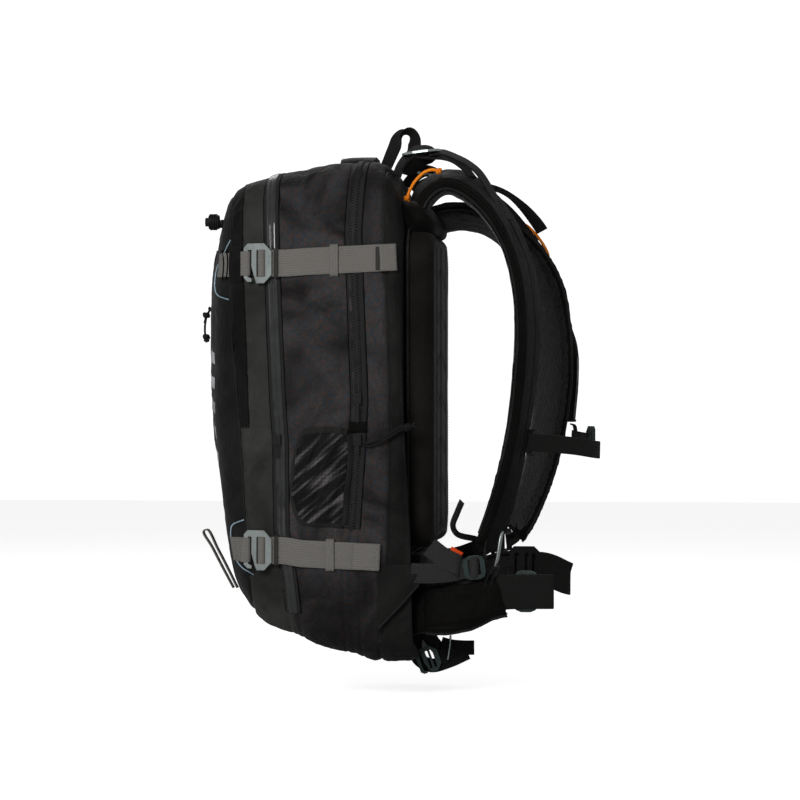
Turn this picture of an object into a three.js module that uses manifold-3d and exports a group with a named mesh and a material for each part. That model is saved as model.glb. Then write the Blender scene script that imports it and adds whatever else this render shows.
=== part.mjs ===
// Avalanche airbag backpack, about 30 litres, with an electric blower that fills a folded airbag.
//
// Units are millimetres, +Z is up. The origin is the middle of the back panel's contact face: the
// wearer stands at +Y with that face on the back, +X is the wearer's right, and -Y is the outer
// front of the pack. The fabric body is three tubs, one behind the other along Y, each lofted
// through sections at fixed Y. Webbing and pads are lofts along a route.

import * as THREE from "three";
import { mergeVertices } from "three/addons/utils/BufferGeometryUtils.js";
import Module from "manifold-3d";

const wasm = await Module();
wasm.setup();

// ---------- driving dimensions ----------

const GAP = 0.35; // clearance between touching pieces
const WELD = 1e-4; // vertices closer than this are one
const OVERSHOOT = 5; // how far a cutting solid runs past what it cuts
const FAR = 400; // beyond the whole pack in any direction
const SHELL_WALL = 2.5; // lined fabric of the body
const RING_POINTS = 24; // points round a body section
const SECTION_POWER = 6; // how square a body section is

// Body sections from the front apex to the open back: y, top z, bottom z, half width.
const FRONT_PANEL_SECTIONS = [
  [-260, 106, 64, 25],
  [-256, 153, -32, 66],
  [-250, 183, -74, 84],
  [-245, 205, -111, 95],
  [-237, 228, -160, 104],
  [-227.4, 240, -200, 112],
];
const FRONT_POCKET_SECTIONS = [
  [-227, 246, -206, 112.5],
  [-213, 250, -222, 122],
  [-197, 255, -242, 129],
  [-183, 260, -250, 134],
  [-172.4, 262, -256, 137],
];
const MAIN_SECTIONS = [
  [-172, 262, -256, 137],
  [-150, 265, -266, 141],
  [-130, 270, -273, 144],
  [-110, 273, -279, 145],
  [-75, 274, -289, 144],
  [-55, 266, -292, 142],
  [-43, 235, -290, 140.5],
  [-36, 206, -288, 140],
];

const FRAME_SHEET = { back: -35.6, thickness: 2.4, half: 124, top: 188, bottom: -262, corner: 40 };
const PAD = { back: -32.8, half: 112, top: 193, bottom: -168, corner: 34, edge: 9 };
const LUMBAR = { front: 6, half: 100, top: -171, bottom: -250, corner: 24, edge: 8 };
const STAY = { x: 58, width: 16, thickness: 3, top: 168, bottom: -150 };

const BLOWER = { z: 125, radius: 54, wall: 2.5, back: -58, front: -96, intake: 22, outlet: 17.3 };
const IMPELLER = { radius: 44, blades: 9, back: -74, front: -92, hub: 11, bore: 2.8 };
const DUCT = { outer: 17, inner: 14.5, ledge: 9, bottom: 174, seat: 196, top: 206 };
const FLAP_VALVE = { radius: 11, thickness: 1.2, z: 199 };
const BLOWER_Y = -78; // the outlet duct's axis

const MOTOR = { radius: 17, front: -72, shaft: 2.45, shaftFront: -90 };
const COVER_GROOVES = { count: 3, pitch: 10, height: 4, below: 12, depth: 0.8 };
const CAPACITOR = { radius: 17, x: 19, y: -84, bottom: -10, top: 52 };
const CELL = { radius: 7.2, y: -64, bottom: -12, top: 40, x: [60, 76] };
const BOARD = { half: 78, back: -54, front: -55.6, bottom: -22, top: 62 };
const SWITCH = { x: -60, z: 28, radius: 13, back: -56, front: -64, lever: 3, reach: 12 };

const TAPE = 1.4; // a zip's tape with its film or teeth
const MAIN_ZIP = { front: -179, back: -166, floor: -236, slider: -171 };
const AIRBAG_ZIP = { front: -90, back: -73, floor: -140, slider: -81 };
const SLIDER = { width: 9, height: 12, depth: 4, pullWidth: 5, pullDepth: 2 };
const CORD_LOCK = { x: 60, z: 202, radius: 8, bore: 5.6, button: 5, front: -260, back: -248.5 };

const SKI_WEBBING = { width: 30, thickness: 2.2, clear: 1.6 };
const HARNESS_WEBBING = { width: 25, thickness: 2 };
const STERNUM_WEBBING = { width: 20, thickness: 1.8 };
const HIP_WEBBING = { width: 38, thickness: 2.6 };
const STRAP_PAD = { thickness: 14, chamfer: 3.5, wide: 66, narrow: 34 };
const HIP_PAD = { thickness: 15, chamfer: 4, wide: 52, narrow: 44 };
const CORD = { strap: 1.8, pull: 1.3, trigger: 2.4 }; // radii
const STRAP_TILT = THREE.MathUtils.degToRad(17); // the outer face leans outwards, as a shoulder slopes
const SKI_HOOK = { width: 34, height: 44, thickness: 3 };
const HIP_HOOK = { width: 40, height: 48, thickness: 3 };
const SMALL_HOOK = { width: 26, height: 30, thickness: 2.5 };
const UPPER_STRAP_Z = 151;
const LOWER_STRAP_Z = -166;
const UPPER_STRAP_END = -38; // how far back each ski strap is sewn, along Y
const LOWER_STRAP_END = -56;
const HOOK_Y = -192;
const HOOK_LEAN = THREE.MathUtils.degToRad(18); // the body's side turns in towards the front

const COLOURS = {
  fabric: 0x1b1b1a,
  panel: 0x141414,
  foam: 0x1c1a18,
  webbing: 0x191919,
  skiWebbing: 0x6b6762,
  metal: 0xa9b1ae,
  darkMetal: 0x46504e,
  plastic: 0x1d1f20,
  zip: 0x202222,
  orange: 0xff8a1e,
  board: 0x1f5a34,
  steel: 0xb9bcc0,
};

// ---------- helpers ----------

function toSolid(geometry) {
  const loose = geometry.index ? geometry.toNonIndexed() : geometry;
  const bare = new THREE.BufferGeometry();
  bare.setAttribute("position", loose.getAttribute("position"));
  const merged = mergeVertices(bare, WELD);
  return new wasm.Manifold(
    new wasm.Mesh({
      numProp: 3,
      vertProperties: merged.attributes.position.array,
      triVerts: new Uint32Array(merged.index.array),
    }),
  );
}

function toGeometry(solid) {
  const mesh = solid.getMesh();
  const geometry = new THREE.BufferGeometry();
  geometry.setAttribute("position", new THREE.BufferAttribute(mesh.vertProperties, 3));
  geometry.setIndex(new THREE.BufferAttribute(mesh.triVerts, 1));
  geometry.computeVertexNormals();
  return geometry;
}

function cut(from, ...tools) {
  return toGeometry(tools.reduce((left, tool) => left.subtract(toSolid(tool)), toSolid(from)));
}

function join(...pieces) {
  return toGeometry(pieces.map(toSolid).reduce((whole, piece) => whole.add(piece)));
}

// A box between two corners.
function block([x0, y0, z0], [x1, y1, z1]) {
  const box = new THREE.BoxGeometry(x1 - x0, y1 - y0, z1 - z0);
  return box.translate((x0 + x1) / 2, (y0 + y1) / 2, (z0 + z1) / 2);
}

// A cylinder along Y from y0 to y1, centred on (x, z).
function cylinderY(radius, y0, y1, x, z, sides = 28) {
  const cylinder = new THREE.CylinderGeometry(radius, radius, y1 - y0, sides);
  return cylinder.translate(x, (y0 + y1) / 2, z);
}

// A cylinder along Z from z0 to z1, centred on (x, y).
function cylinderZ(radius, z0, z1, x, y, sides = 24) {
  const cylinder = new THREE.CylinderGeometry(radius, radius, z1 - z0, sides);
  return cylinder.rotateX(Math.PI / 2).translate(x, y, (z0 + z1) / 2);
}

// A closed skin through rings of equal length, with a fan at each end.
function loft(rings) {
  const count = rings[0].length;
  const points = rings.flat();
  const faces = [];
  for (let r = 0; r + 1 < rings.length; r++) {
    for (let i = 0; i < count; i++) {
      const a = r * count + i;
      const b = r * count + ((i + 1) % count);
      faces.push([a, b, b + count], [a, b + count, a + count]);
    }
  }
  const last = (rings.length - 1) * count;
  for (let i = 1; i + 1 < count; i++) {
    faces.push([0, i + 1, i], [last, last + i, last + i + 1]);
  }
  const volume = faces.reduce(
    (sum, [a, b, c]) => sum + points[a].dot(new THREE.Vector3().crossVectors(points[b], points[c])),
    0,
  );
  const outward = volume < 0 ? faces.map(([a, b, c]) => [a, c, b]) : faces;
  const geometry = new THREE.BufferGeometry().setFromPoints(points);
  geometry.setIndex(outward.flat());
  return geometry;
}

// Frames along a route. tilt turns the piece about the route, so that its outer face leans.
function framesAlong(points, steps, acrossHint, tilt = 0) {
  const route = new THREE.CatmullRomCurve3(points.map((p) => new THREE.Vector3(...p)));
  return Array.from({ length: steps + 1 }, (_, i) => {
    const t = i / steps;
    const tangent = route.getTangent(t);
    const across = acrossHint.clone().addScaledVector(tangent, -acrossHint.dot(tangent)).normalize();
    const normal = new THREE.Vector3().crossVectors(across, tangent).normalize();
    const leaned = across.clone().multiplyScalar(Math.cos(tilt)).addScaledVector(normal, -Math.sin(tilt));
    const outward = normal.multiplyScalar(Math.cos(tilt)).addScaledVector(across, Math.sin(tilt));
    return { t, at: route.getPoint(t), across: leaned, outward };
  });
}

function place(frame, section) {
  return section.map(([u, v]) =>
    frame.at.clone().addScaledVector(frame.across, u).addScaledVector(frame.outward, v),
  );
}

const flatSection = (width, thickness) => [
  [-width / 2, -thickness / 2],
  [width / 2, -thickness / 2],
  [width / 2, thickness / 2],
  [-width / 2, thickness / 2],
];

const paddedSection = (width, thickness, chamfer) => {
  const [w, h] = [width / 2, thickness / 2];
  return [
    [-w + chamfer, -h],
    [w - chamfer, -h],
    [w, -h + chamfer],
    [w, h - chamfer],
    [w - chamfer, h],
    [-w + chamfer, h],
    [-w, h - chamfer],
    [-w, -h + chamfer],
  ];
};

// A strip of webbing along a route; its width lies along acrossHint.
function webbing(points, { width, thickness }, acrossHint, steps = 10, tilt = 0) {
  const frames = framesAlong(points, steps, acrossHint, tilt);
  return loft(frames.map((frame) => place(frame, flatSection(width, thickness))));
}

const roundSection = (radius, sides = 8) =>
  Array.from({ length: sides }, (_, i) => {
    const angle = (2 * Math.PI * i) / sides;
    return [radius * Math.cos(angle), radius * Math.sin(angle)];
  });

function cordTube(points, radius, acrossHint, steps) {
  return loft(framesAlong(points, steps, acrossHint).map((frame) => place(frame, roundSection(radius))));
}

function roundedRectangle(left, bottom, right, top, radius) {
  const shape = new THREE.Shape();
  shape.moveTo(left + radius, bottom);
  shape.lineTo(right - radius, bottom);
  shape.absarc(right - radius, bottom + radius, radius, -Math.PI / 2, 0);
  shape.lineTo(right, top - radius);
  shape.absarc(right - radius, top - radius, radius, 0, Math.PI / 2);
  shape.lineTo(left + radius, top);
  shape.absarc(left + radius, top - radius, radius, Math.PI / 2, Math.PI);
  shape.lineTo(left, bottom + radius);
  shape.absarc(left + radius, bottom + radius, radius, Math.PI, 1.5 * Math.PI);
  return shape;
}

// A plate in the XZ plane between y0 and y1, with an optional bevel round both faces.
function plateY(shape, y0, y1, bevel = 0) {
  const plate = new THREE.ExtrudeGeometry(shape, {
    depth: y1 - y0 - 2 * bevel,
    curveSegments: 3,
    bevelEnabled: bevel > 0,
    bevelThickness: bevel,
    bevelSize: bevel,
    bevelOffset: -bevel,
    bevelSegments: 2,
  });
  // Shape x becomes X, shape y becomes Z and the extrusion runs along -Y.
  return plate.rotateX(Math.PI / 2).translate(0, y1 - bevel, 0);
}

const X = new THREE.Vector3(1, 0, 0);
const Y = new THREE.Vector3(0, 1, 0);
const Z = new THREE.Vector3(0, 0, 1);

const backpack = new THREE.Group();
backpack.name = "avalanche_airbag_backpack";

function add(name, geometry, colour, { metalness = 0, roughness = 0.85 } = {}) {
  const material = new THREE.MeshStandardMaterial({ color: colour, metalness, roughness });
  const mesh = new THREE.Mesh(geometry, material);
  mesh.name = name;
  backpack.add(mesh);
  return mesh;
}

const METAL = { metalness: 0.9, roughness: 0.35 };

// ---------- fabric body ----------

const ALL_SECTIONS = [...FRONT_PANEL_SECTIONS, ...FRONT_POCKET_SECTIONS, ...MAIN_SECTIONS];

// The body's section at any y, between the stations.
function sectionAt(y) {
  const after = ALL_SECTIONS.findIndex((section) => section[0] >= y);
  const [high, low] = [ALL_SECTIONS[Math.max(after, 1)], ALL_SECTIONS[Math.max(after, 1) - 1]];
  const t = (y - low[0]) / (high[0] - low[0]);
  return low.map((value, i) => THREE.MathUtils.lerp(value, high[i], t));
}

// A superellipse in the plane y, grown outwards by offset.
function bodyRing([y, top, bottom, half], offset = 0) {
  const middle = (top + bottom) / 2;
  const tall = (top - bottom) / 2 + offset;
  const wide = half + offset;
  const round = (value) => Math.sign(value) * Math.abs(value) ** (2 / SECTION_POWER);
  return Array.from({ length: RING_POINTS }, (_, i) => {
    const angle = (2 * Math.PI * (i + 0.5)) / RING_POINTS;
    return new THREE.Vector3(wide * round(Math.cos(angle)), y, middle + tall * round(Math.sin(angle)));
  });
}

// A tub with a closed front and an open back.
function tub(sections) {
  const outer = loft(sections.map((section) => bodyRing(section)));
  const inside = sections.map((section, i) => {
    const shift = i === 0 ? SHELL_WALL : i === sections.length - 1 ? OVERSHOOT : 0;
    const [y, ...rest] = section;
    return bodyRing([y + shift, ...rest], -SHELL_WALL);
  });
  return cut(outer, loft(inside));
}

// A flat band laid round the body between two values of y, above its floor.
function bodyBand({ front, back, floor }) {
  const between = ALL_SECTIONS.map((section) => section[0]).filter((y) => y > front && y < back);
  const stations = [front, ...between, back];
  const outer = loft(stations.map((y) => bodyRing(sectionAt(y), GAP + TAPE)));
  const reach = [front - 1, ...between, back + 1];
  const inner = loft(reach.map((y) => bodyRing(sectionAt(y), GAP)));
  return cut(outer, inner, block([-FAR, front - OVERSHOOT, -FAR], [FAR, back + OVERSHOOT, floor]));
}

add("front_panel", tub(FRONT_PANEL_SECTIONS), COLOURS.panel);
add("front_pocket", tub(FRONT_POCKET_SECTIONS), COLOURS.fabric);
add("main_compartment", tub(MAIN_SECTIONS), COLOURS.fabric);
add("main_zip_tape", bodyBand(MAIN_ZIP), COLOURS.zip);
add("airbag_zip_tape", bodyBand(AIRBAG_ZIP), COLOURS.zip);

// ---------- frame and back panel ----------

function buildFrame() {
  const { back, thickness, half, top, bottom, corner } = FRAME_SHEET;
  const outline = roundedRectangle(-half, bottom, half, top, corner);
  add("frame_sheet", plateY(outline, back, back + thickness), COLOURS.plastic);
}

function stayBlock(side, clearance) {
  const x = side * STAY.x;
  const half = STAY.width / 2 + clearance;
  const front = PAD.back + STAY.thickness + 2 * clearance;
  return block(
    [x - half, PAD.back - clearance, STAY.bottom - clearance],
    [x + half, front - clearance, STAY.top + clearance],
  );
}

function buildBackPads() {
  const pad = roundedRectangle(-PAD.half, PAD.bottom, PAD.half, PAD.top, PAD.corner);
  const lumbar = roundedRectangle(-LUMBAR.half, LUMBAR.bottom, LUMBAR.half, LUMBAR.top, LUMBAR.corner);
  add(
    "back_foam_pad",
    cut(plateY(pad, PAD.back, 0, PAD.edge), stayBlock(1, GAP), stayBlock(-1, GAP)),
    COLOURS.foam,
  );
  add("lumbar_pad", plateY(lumbar, PAD.back, LUMBAR.front, LUMBAR.edge), COLOURS.foam);
  add("frame_stay_right", stayBlock(1, 0), COLOURS.steel, METAL);
  add("frame_stay_left", stayBlock(-1, 0), COLOURS.steel, METAL);
}

buildFrame();
buildBackPads();

// ---------- airbag system ----------

function buildAirbag() {
  // Folded into an inverted U under the burst zip.
  const half = [
    [118, -82, -5],
    [119, -82, 80],
    [117, -82, 160],
    [104, -82, 214],
    [62, -82, 240],
  ];
  const route = [...half, [0, -82, 244], ...half.map(([x, y, z]) => [-x, y, z]).reverse()];
  const frames = framesAlong(route, 26, Y);
  const rings = frames.map((frame) => place(frame, paddedSection(46, 26, 7)));
  add("airbag_folded", loft(rings), COLOURS.orange);
}

function buildBlower() {
  const { z, radius, wall, back, front, intake, outlet } = BLOWER;
  const cup = cut(
    cylinderY(radius, front, back, 0, z),
    cylinderY(radius - wall, front - OVERSHOOT, back - wall, 0, z),
    cylinderZ(outlet, z, z + radius + OVERSHOOT, 0, BLOWER_Y),
  );
  add("blower_housing_back", cup, COLOURS.plastic);
  // Shallow grooves across the cover's outer face.
  const { count, pitch, height, below, depth } = COVER_GROOVES;
  const grooves = Array.from({ length: count }, (_, i) => {
    const low = z - below + pitch * i;
    return block([-FAR, front - FAR, low], [FAR, front - GAP - wall + depth, low + height]);
  });
  const cover = cut(
    cylinderY(radius, front - GAP - wall, front - GAP, 0, z),
    cylinderY(intake, front - FAR, front + OVERSHOOT, 0, z),
    ...grooves,
  );
  add("blower_housing_cover", cover, COLOURS.plastic);
  const motor = join(
    cylinderY(MOTOR.radius, MOTOR.front, back - wall - GAP, 0, z, 20),
    cylinderY(MOTOR.shaft, MOTOR.shaftFront, MOTOR.front + 1, 0, z, 12),
  );
  add("blower_motor", motor, COLOURS.steel, METAL);
}

function buildImpeller() {
  const { radius, blades, back, front, hub, bore } = IMPELLER;
  const z = BLOWER.z;
  const vanes = Array.from({ length: blades }, (_, i) => {
    const vane = new THREE.BoxGeometry(radius - hub + 1, back - front - 2, 1.6);
    vane.rotateY(0.35).translate((radius + hub) / 2 - 1, (back + front) / 2 - 1, 0);
    return vane.rotateY((2 * Math.PI * i) / blades).translate(0, 0, z);
  });
  const wheel = join(
    cylinderY(radius, back - 2, back, 0, z, 36),
    cylinderY(hub, front, back, 0, z, 18),
    ...vanes,
  );
  const hole = cylinderY(bore, front - OVERSHOOT, back + OVERSHOOT, 0, z, 12);
  add("impeller", cut(wheel, hole), COLOURS.plastic);
}

function buildDuctAndValve() {
  const { outer, inner, ledge, bottom, seat, top } = DUCT;
  const duct = cut(
    cylinderZ(outer, bottom, top, 0, BLOWER_Y),
    cylinderZ(inner, seat, top + OVERSHOOT, 0, BLOWER_Y),
    cylinderZ(ledge, bottom - OVERSHOOT, seat + OVERSHOOT, 0, BLOWER_Y),
  );
  add("outlet_duct", duct, COLOURS.plastic);
  const { radius, thickness, z } = FLAP_VALVE;
  add("valve_flap", cylinderZ(radius, z, z + thickness, 0, BLOWER_Y, 20), COLOURS.orange);
}

function buildElectronics() {
  const { radius, x, y, bottom, top } = CAPACITOR;
  const capacitors = join(
    cylinderZ(radius, bottom, top, -x, y, 20),
    cylinderZ(radius, bottom, top, x, y, 20),
    block([-2 * radius, y - 6, bottom - 6], [2 * radius, y + 8, bottom + 4]),
  );
  add("supercapacitor_pack", capacitors, COLOURS.steel, { metalness: 0.4, roughness: 0.5 });
  const board = block([-BOARD.half, BOARD.front, BOARD.bottom], [BOARD.half, BOARD.back, BOARD.top]);
  add("control_board", board, COLOURS.board);
  const [first, second] = CELL.x;
  const cells = join(
    block([first - 10, CELL.y - 6, CELL.bottom - 2], [second + 10, CELL.y + 7, CELL.bottom + 2]),
    ...CELL.x.map((cellX) => cylinderZ(CELL.radius, CELL.bottom, CELL.top, cellX, CELL.y, 16)),
    block([first - 2, CELL.y - 3, CELL.bottom + 22], [second + 2, CELL.y + 3, CELL.bottom + 32]),
  );
  add("battery_pack", cells, COLOURS.steel, { metalness: 0.4, roughness: 0.5 });
  const { lever, reach } = SWITCH;
  const knob = join(
    cylinderY(SWITCH.radius, SWITCH.front, SWITCH.back, SWITCH.x, SWITCH.z, 20),
    block(
      [SWITCH.x - lever, SWITCH.front - 8, SWITCH.z - reach],
      [SWITCH.x + lever, SWITCH.front + 2, SWITCH.z + reach],
    ),
  );
  add("power_switch", knob, COLOURS.orange);
  // From the left shoulder strap's sleeve to the board.
  const cable = [
    [-66, -52, 196],
    [-70, -52, 170],
    [-78, -53, 130],
    [-74, -58, 90],
    [-40, -62, 66],
    [-30, -60, 50],
  ];
  add("trigger_cable", cordTube(cable, CORD.trigger, X, 22), COLOURS.plastic);
}

buildAirbag();
buildBlower();
buildImpeller();
buildDuctAndValve();
buildElectronics();

// ---------- hook buckles ----------

// A flat open hook: two closed slots with a bar between, for the adjusting webbing, and a side bar
// with a gate below it that a loop of webbing slips over. Local x runs from the open side to the closed side,
// local y is up, and the plate is centred on the origin.
function hookPlate({ width, height, thickness }) {
  const chamfer = width * 0.27;
  const bar = width * 0.15;
  const slot = width * 0.28;
  const arm = height * 0.16;
  const outline = [
    [chamfer / 2, height],
    [width - chamfer, height],
    [width, height - chamfer],
    [width, chamfer],
    [width - chamfer, 0],
    [width * 0.46, 0],
    [width * 0.37, height * 0.18],
    [slot, height * 0.42],
    [slot, height - arm],
    [bar, height - arm],
    [bar, height * 0.16],
    [slot, height * 0.12],
    [slot, height * 0.04],
    [chamfer / 2, height * 0.04],
    [0, height * 0.14],
    [0, height - chamfer / 2],
  ];
  const plate = new THREE.Shape(outline.map(([x, y]) => new THREE.Vector2(x, y)));
  for (const [left, right] of [[0.46, 0.57], [0.67, 0.78]]) {
    plate.holes.push(
      roundedRectangle(width * left, arm, width * right, height - arm, width * 0.03),
    );
  }
  const solid = new THREE.ExtrudeGeometry(plate, {
    depth: thickness,
    bevelEnabled: false,
    curveSegments: 2,
  });
  return solid.translate(-width / 2, -height / 2, -thickness / 2);
}

// Two slots side by side, for the ends of the shoulder webbing.
function ladderPlate(width, height, thickness) {
  const plate = roundedRectangle(0, 0, width, height, width * 0.3);
  const [slotHalf, endBar, slotCorner] = [2.4, 4, 1.5];
  for (const middle of [width * 0.32, width * 0.68]) {
    const [left, right] = [middle - slotHalf, middle + slotHalf];
    plate.holes.push(roundedRectangle(left, endBar, right, height - endBar, slotCorner));
  }
  const solid = new THREE.ExtrudeGeometry(plate, {
    depth: thickness,
    bevelEnabled: false,
    curveSegments: 1,
  });
  return solid.translate(-width / 2, -height / 2, -thickness / 2);
}

// Places a plate by the direction of its local x, its local y and its centre.
function stand(geometry, along, up, centre) {
  const normal = new THREE.Vector3().crossVectors(along, up);
  const basis = new THREE.Matrix4().makeBasis(along, up, normal).setPosition(...centre);
  return geometry.applyMatrix4(basis);
}

// The same piece on the wearer's left: mirrored in X, with its faces turned back out.
function mirrored(geometry) {
  const loose = geometry.index ? geometry.toNonIndexed() : geometry;
  const flipped = loose.clone().applyMatrix4(new THREE.Matrix4().makeScale(-1, 1, 1));
  const position = flipped.getAttribute("position");
  for (let i = 0; i < position.count; i += 3) {
    const [b, c] = [i + 1, i + 2].map((k) => new THREE.Vector3().fromBufferAttribute(position, k));
    position.setXYZ(i + 1, c.x, c.y, c.z);
    position.setXYZ(i + 2, b.x, b.y, b.z);
  }
  return flipped;
}

// ---------- ski carry straps ----------

// Along the body's side from behind its hook to its sewn end, and over the zip tapes.
function skiStrap(z, end) {
  const clear = SKI_WEBBING.clear + SKI_WEBBING.thickness / 2;
  const stations = [-188, -172, -150, -130, -110, -92, -75, -64, end];
  const near = (y, zip) => y > zip.front - OVERSHOOT && y < zip.back + OVERSHOOT;
  const points = stations.map((y) => {
    const overTape = near(y, MAIN_ZIP) || near(y, AIRBAG_ZIP) ? TAPE + 0.2 : 0;
    return [sectionAt(y)[3] + clear + overTape, y, z];
  });
  return webbing(points, SKI_WEBBING, Z, 16);
}

function buildSkiStraps() {
  const along = new THREE.Vector3(Math.sin(HOOK_LEAN), Math.cos(HOOK_LEAN), 0);
  const levels = [
    ["upper", UPPER_STRAP_Z, UPPER_STRAP_END],
    ["lower", LOWER_STRAP_Z, LOWER_STRAP_END],
  ];
  const hookStandOff = 9.5;
  for (const [level, z, end] of levels) {
    const strap = skiStrap(z, end);
    const centre = [sectionAt(HOOK_Y)[3] + hookStandOff, HOOK_Y, z];
    const hook = stand(hookPlate(SKI_HOOK), along, Z, centre);
    add(`${level}_ski_strap_right`, strap, COLOURS.skiWebbing);
    add(`${level}_ski_strap_left`, mirrored(strap), COLOURS.skiWebbing);
    add(`${level}_ski_hook_right`, hook, COLOURS.metal, METAL);
    add(`${level}_ski_hook_left`, mirrored(hook), COLOURS.metal, METAL);
  }
}

buildSkiStraps();

// ---------- zip sliders, flap, loops and the cord lock ----------

// A slider on a zip's tape, with its puller hanging below, flat against the body's right side.
function zipSlider(zip, z, pull) {
  const { width, height, depth, pullWidth, pullDepth } = SLIDER;
  const y = zip.slider;
  const x = sectionAt(zip.slider)[3] + TAPE + 4 * GAP;
  const low = z - height / 2;
  const middle = x + depth / 2;
  return join(
    block([x, y - width / 2, low], [x + depth, y + width / 2, low + height]),
    block(
      [middle - pullDepth / 2, y - pullWidth / 2, low - pull],
      [middle + pullDepth / 2, y + pullWidth / 2, low + 1],
    ),
  );
}

function buildTopPieces() {
  add("main_zip_slider", zipSlider(MAIN_ZIP, -44, 14), COLOURS.zip, METAL);
  add("airbag_zip_slider", zipSlider(AIRBAG_ZIP, 2, 20), COLOURS.zip, METAL);
  add("side_zip_slider", zipSlider(AIRBAG_ZIP, -44, 10), COLOURS.zip, METAL);

  add("top_flap", block([-36, -114, 275.2], [36, -73, 278.6]), COLOURS.panel);

  // The haul loop stands oblique, so its face shows from the side.
  const grip = [
    [-10, -61, 276.5],
    [-6, -56, 290],
    [-1, -49, 303],
    [4, -37, 305],
    [7, -29, 298],
    [8, -31, 281],
    [8, -38, 262],
  ];
  const oblique = THREE.MathUtils.degToRad(40);
  const across = new THREE.Vector3(Math.cos(oblique), Math.sin(oblique), 0);
  add("haul_loop", webbing(grip, HARNESS_WEBBING, across, 16), COLOURS.webbing);

  const axeLoop = [
    [62, -231.5, -213],
    [62, -245, -188],
    [62, -256, -167],
    [62, -266, -149],
    [62, -261.5, -147],
    [62, -250, -168],
    [62, -239, -189],
    [62, -227, -213],
  ];
  add("ice_axe_loop", webbing(axeLoop, { width: 12, thickness: 1.6 }, X, 20), COLOURS.skiWebbing);

  const { x, z, radius, bore, button, front, back } = CORD_LOCK;
  const [base, proud, travel] = [1.7, 4, 2.5];
  const barrel = cut(
    cylinderY(radius, front, back, x, z, 16),
    cylinderY(bore, front - OVERSHOOT, back - base, x, z, 16),
  );
  add("cord_lock_barrel", barrel, COLOURS.plastic);
  const end = back - base - travel - 0.8;
  add("cord_lock_button", cylinderY(button, front - proud, end, x, z, 14), COLOURS.plastic);
}

buildTopPieces();

// ---------- shoulder straps ----------

const STRAP_ROUTES = {
  right: [
    [60, -26, 208],
    [62, -12, 233],
    [66, 12, 245],
    [71, 40, 235],
    [76, 74, 198],
    [81, 95, 148],
    [86, 103, 88],
    [90, 101, 30],
    [94, 93, -30],
    [99, 81, -90],
    [107, 65, -142],
    [112, 55, -166],
  ],
  left: [
    [-60, -26, 206],
    [-62, -8, 214],
    [-67, 22, 218],
    [-72, 62, 206],
    [-77, 98, 176],
    [-82, 122, 132],
    [-86, 133, 84],
    [-90, 135, 30],
    [-94, 130, -30],
    [-98, 116, -92],
    [-102, 96, -134],
    [-105, 77, -157],
  ],
};
const STRAP_STEPS = 20;

// Sections across the strap's outer face; lift is the height of the trigger's middle above the
// strap's own middle.
const TRIGGER = {
  lift: 13,
  sleeveOut: paddedSection(40, 15, 5),
  sleeveIn: paddedSection(34, 9, 3),
  grip: paddedSection(15, 5.5, 1.5),
  bar: paddedSection(26, 5.5, 1.5),
};

// Wide over the shoulder, narrowing to the webbing at the lower end.
const strapWidth = (t) =>
  THREE.MathUtils.lerp(STRAP_PAD.wide, STRAP_PAD.narrow, THREE.MathUtils.smoothstep(t, 0.55, 1));

function strapFrames(side) {
  const tilt = side === "right" ? STRAP_TILT : -STRAP_TILT;
  return framesAlong(STRAP_ROUTES[side], STRAP_STEPS, X, tilt);
}

function strapPad(side) {
  const rings = strapFrames(side).map((frame) => {
    const taper = frame.t < 0.02 || frame.t > 0.98 ? 0.7 : 1;
    return place(frame, paddedSection(strapWidth(frame.t), STRAP_PAD.thickness * taper, STRAP_PAD.chamfer));
  });
  return loft(rings);
}

// A solid standing on the left strap's outer face between two fractions of its route.
function onLeftStrap(from, to, section, lift) {
  const route = framesAlong(STRAP_ROUTES.left, 200, X, -STRAP_TILT);
  const stations = route.filter((frame, i) => i % 4 === 0 && frame.t >= from && frame.t <= to);
  const lifted = section.map(([u, v]) => [u, v + lift]);
  return loft(stations.map((frame) => place(frame, lifted)));
}

// The zipped sleeve over the trigger, open at its lower end where the handle comes out.
function triggerSleeve() {
  const { sleeveOut, sleeveIn, lift } = TRIGGER;
  const outside = onLeftStrap(0.48, 0.7, sleeveOut, lift - 1);
  const inside = onLeftStrap(0.52, 0.76, sleeveIn, lift);
  return { outside, inside };
}

// The load lifter's webbing, sewn on the strap and standing free up to its buckle.
function lifterWebbing(points) {
  return webbing(points, HARNESS_WEBBING, X, 10);
}

function buildShoulderStraps() {
  const lifters = {
    right: [
      [62, 20, 274],
      [63, 32, 268],
      [64, 46, 257],
      [68, 60, 236],
      [73, 76, 208],
      [76, 85, 192],
    ],
    left: [
      [-62, 24, 252],
      [-63, 36, 248],
      [-65, 54, 238],
      [-69, 76, 220],
      [-74, 100, 190],
      [-76, 108, 176],
    ],
  };
  const sleeve = triggerSleeve();
  const straps = {
    right: join(strapPad("right"), lifterWebbing(lifters.right)),
    left: cut(join(strapPad("left"), lifterWebbing(lifters.left), sleeve.outside), sleeve.inside),
  };
  for (const side of ["right", "left"]) {
    add(`shoulder_strap_${side}`, straps[side], COLOURS.foam);
  }

  // Load lifter buckles, bridging from the pack's top to the lifter webbing.
  const rising = (angle) => new THREE.Vector3(0, Math.cos(angle), Math.sin(angle));
  const slope = { right: 0.12, left: -0.2 };
  const centres = { right: [60, -18, 279], left: [-60, -14, 262] };
  const [length, width, thickness] = [44, 31, 2.6];
  for (const side of ["right", "left"]) {
    const plate = ladderPlate(length, width, thickness);
    const buckle = stand(plate, rising(slope[side]), X, centres[side]);
    add(`lifter_buckle_${side}`, buckle, COLOURS.darkMetal, METAL);
  }

  buildLowerAnchors();
}

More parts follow.
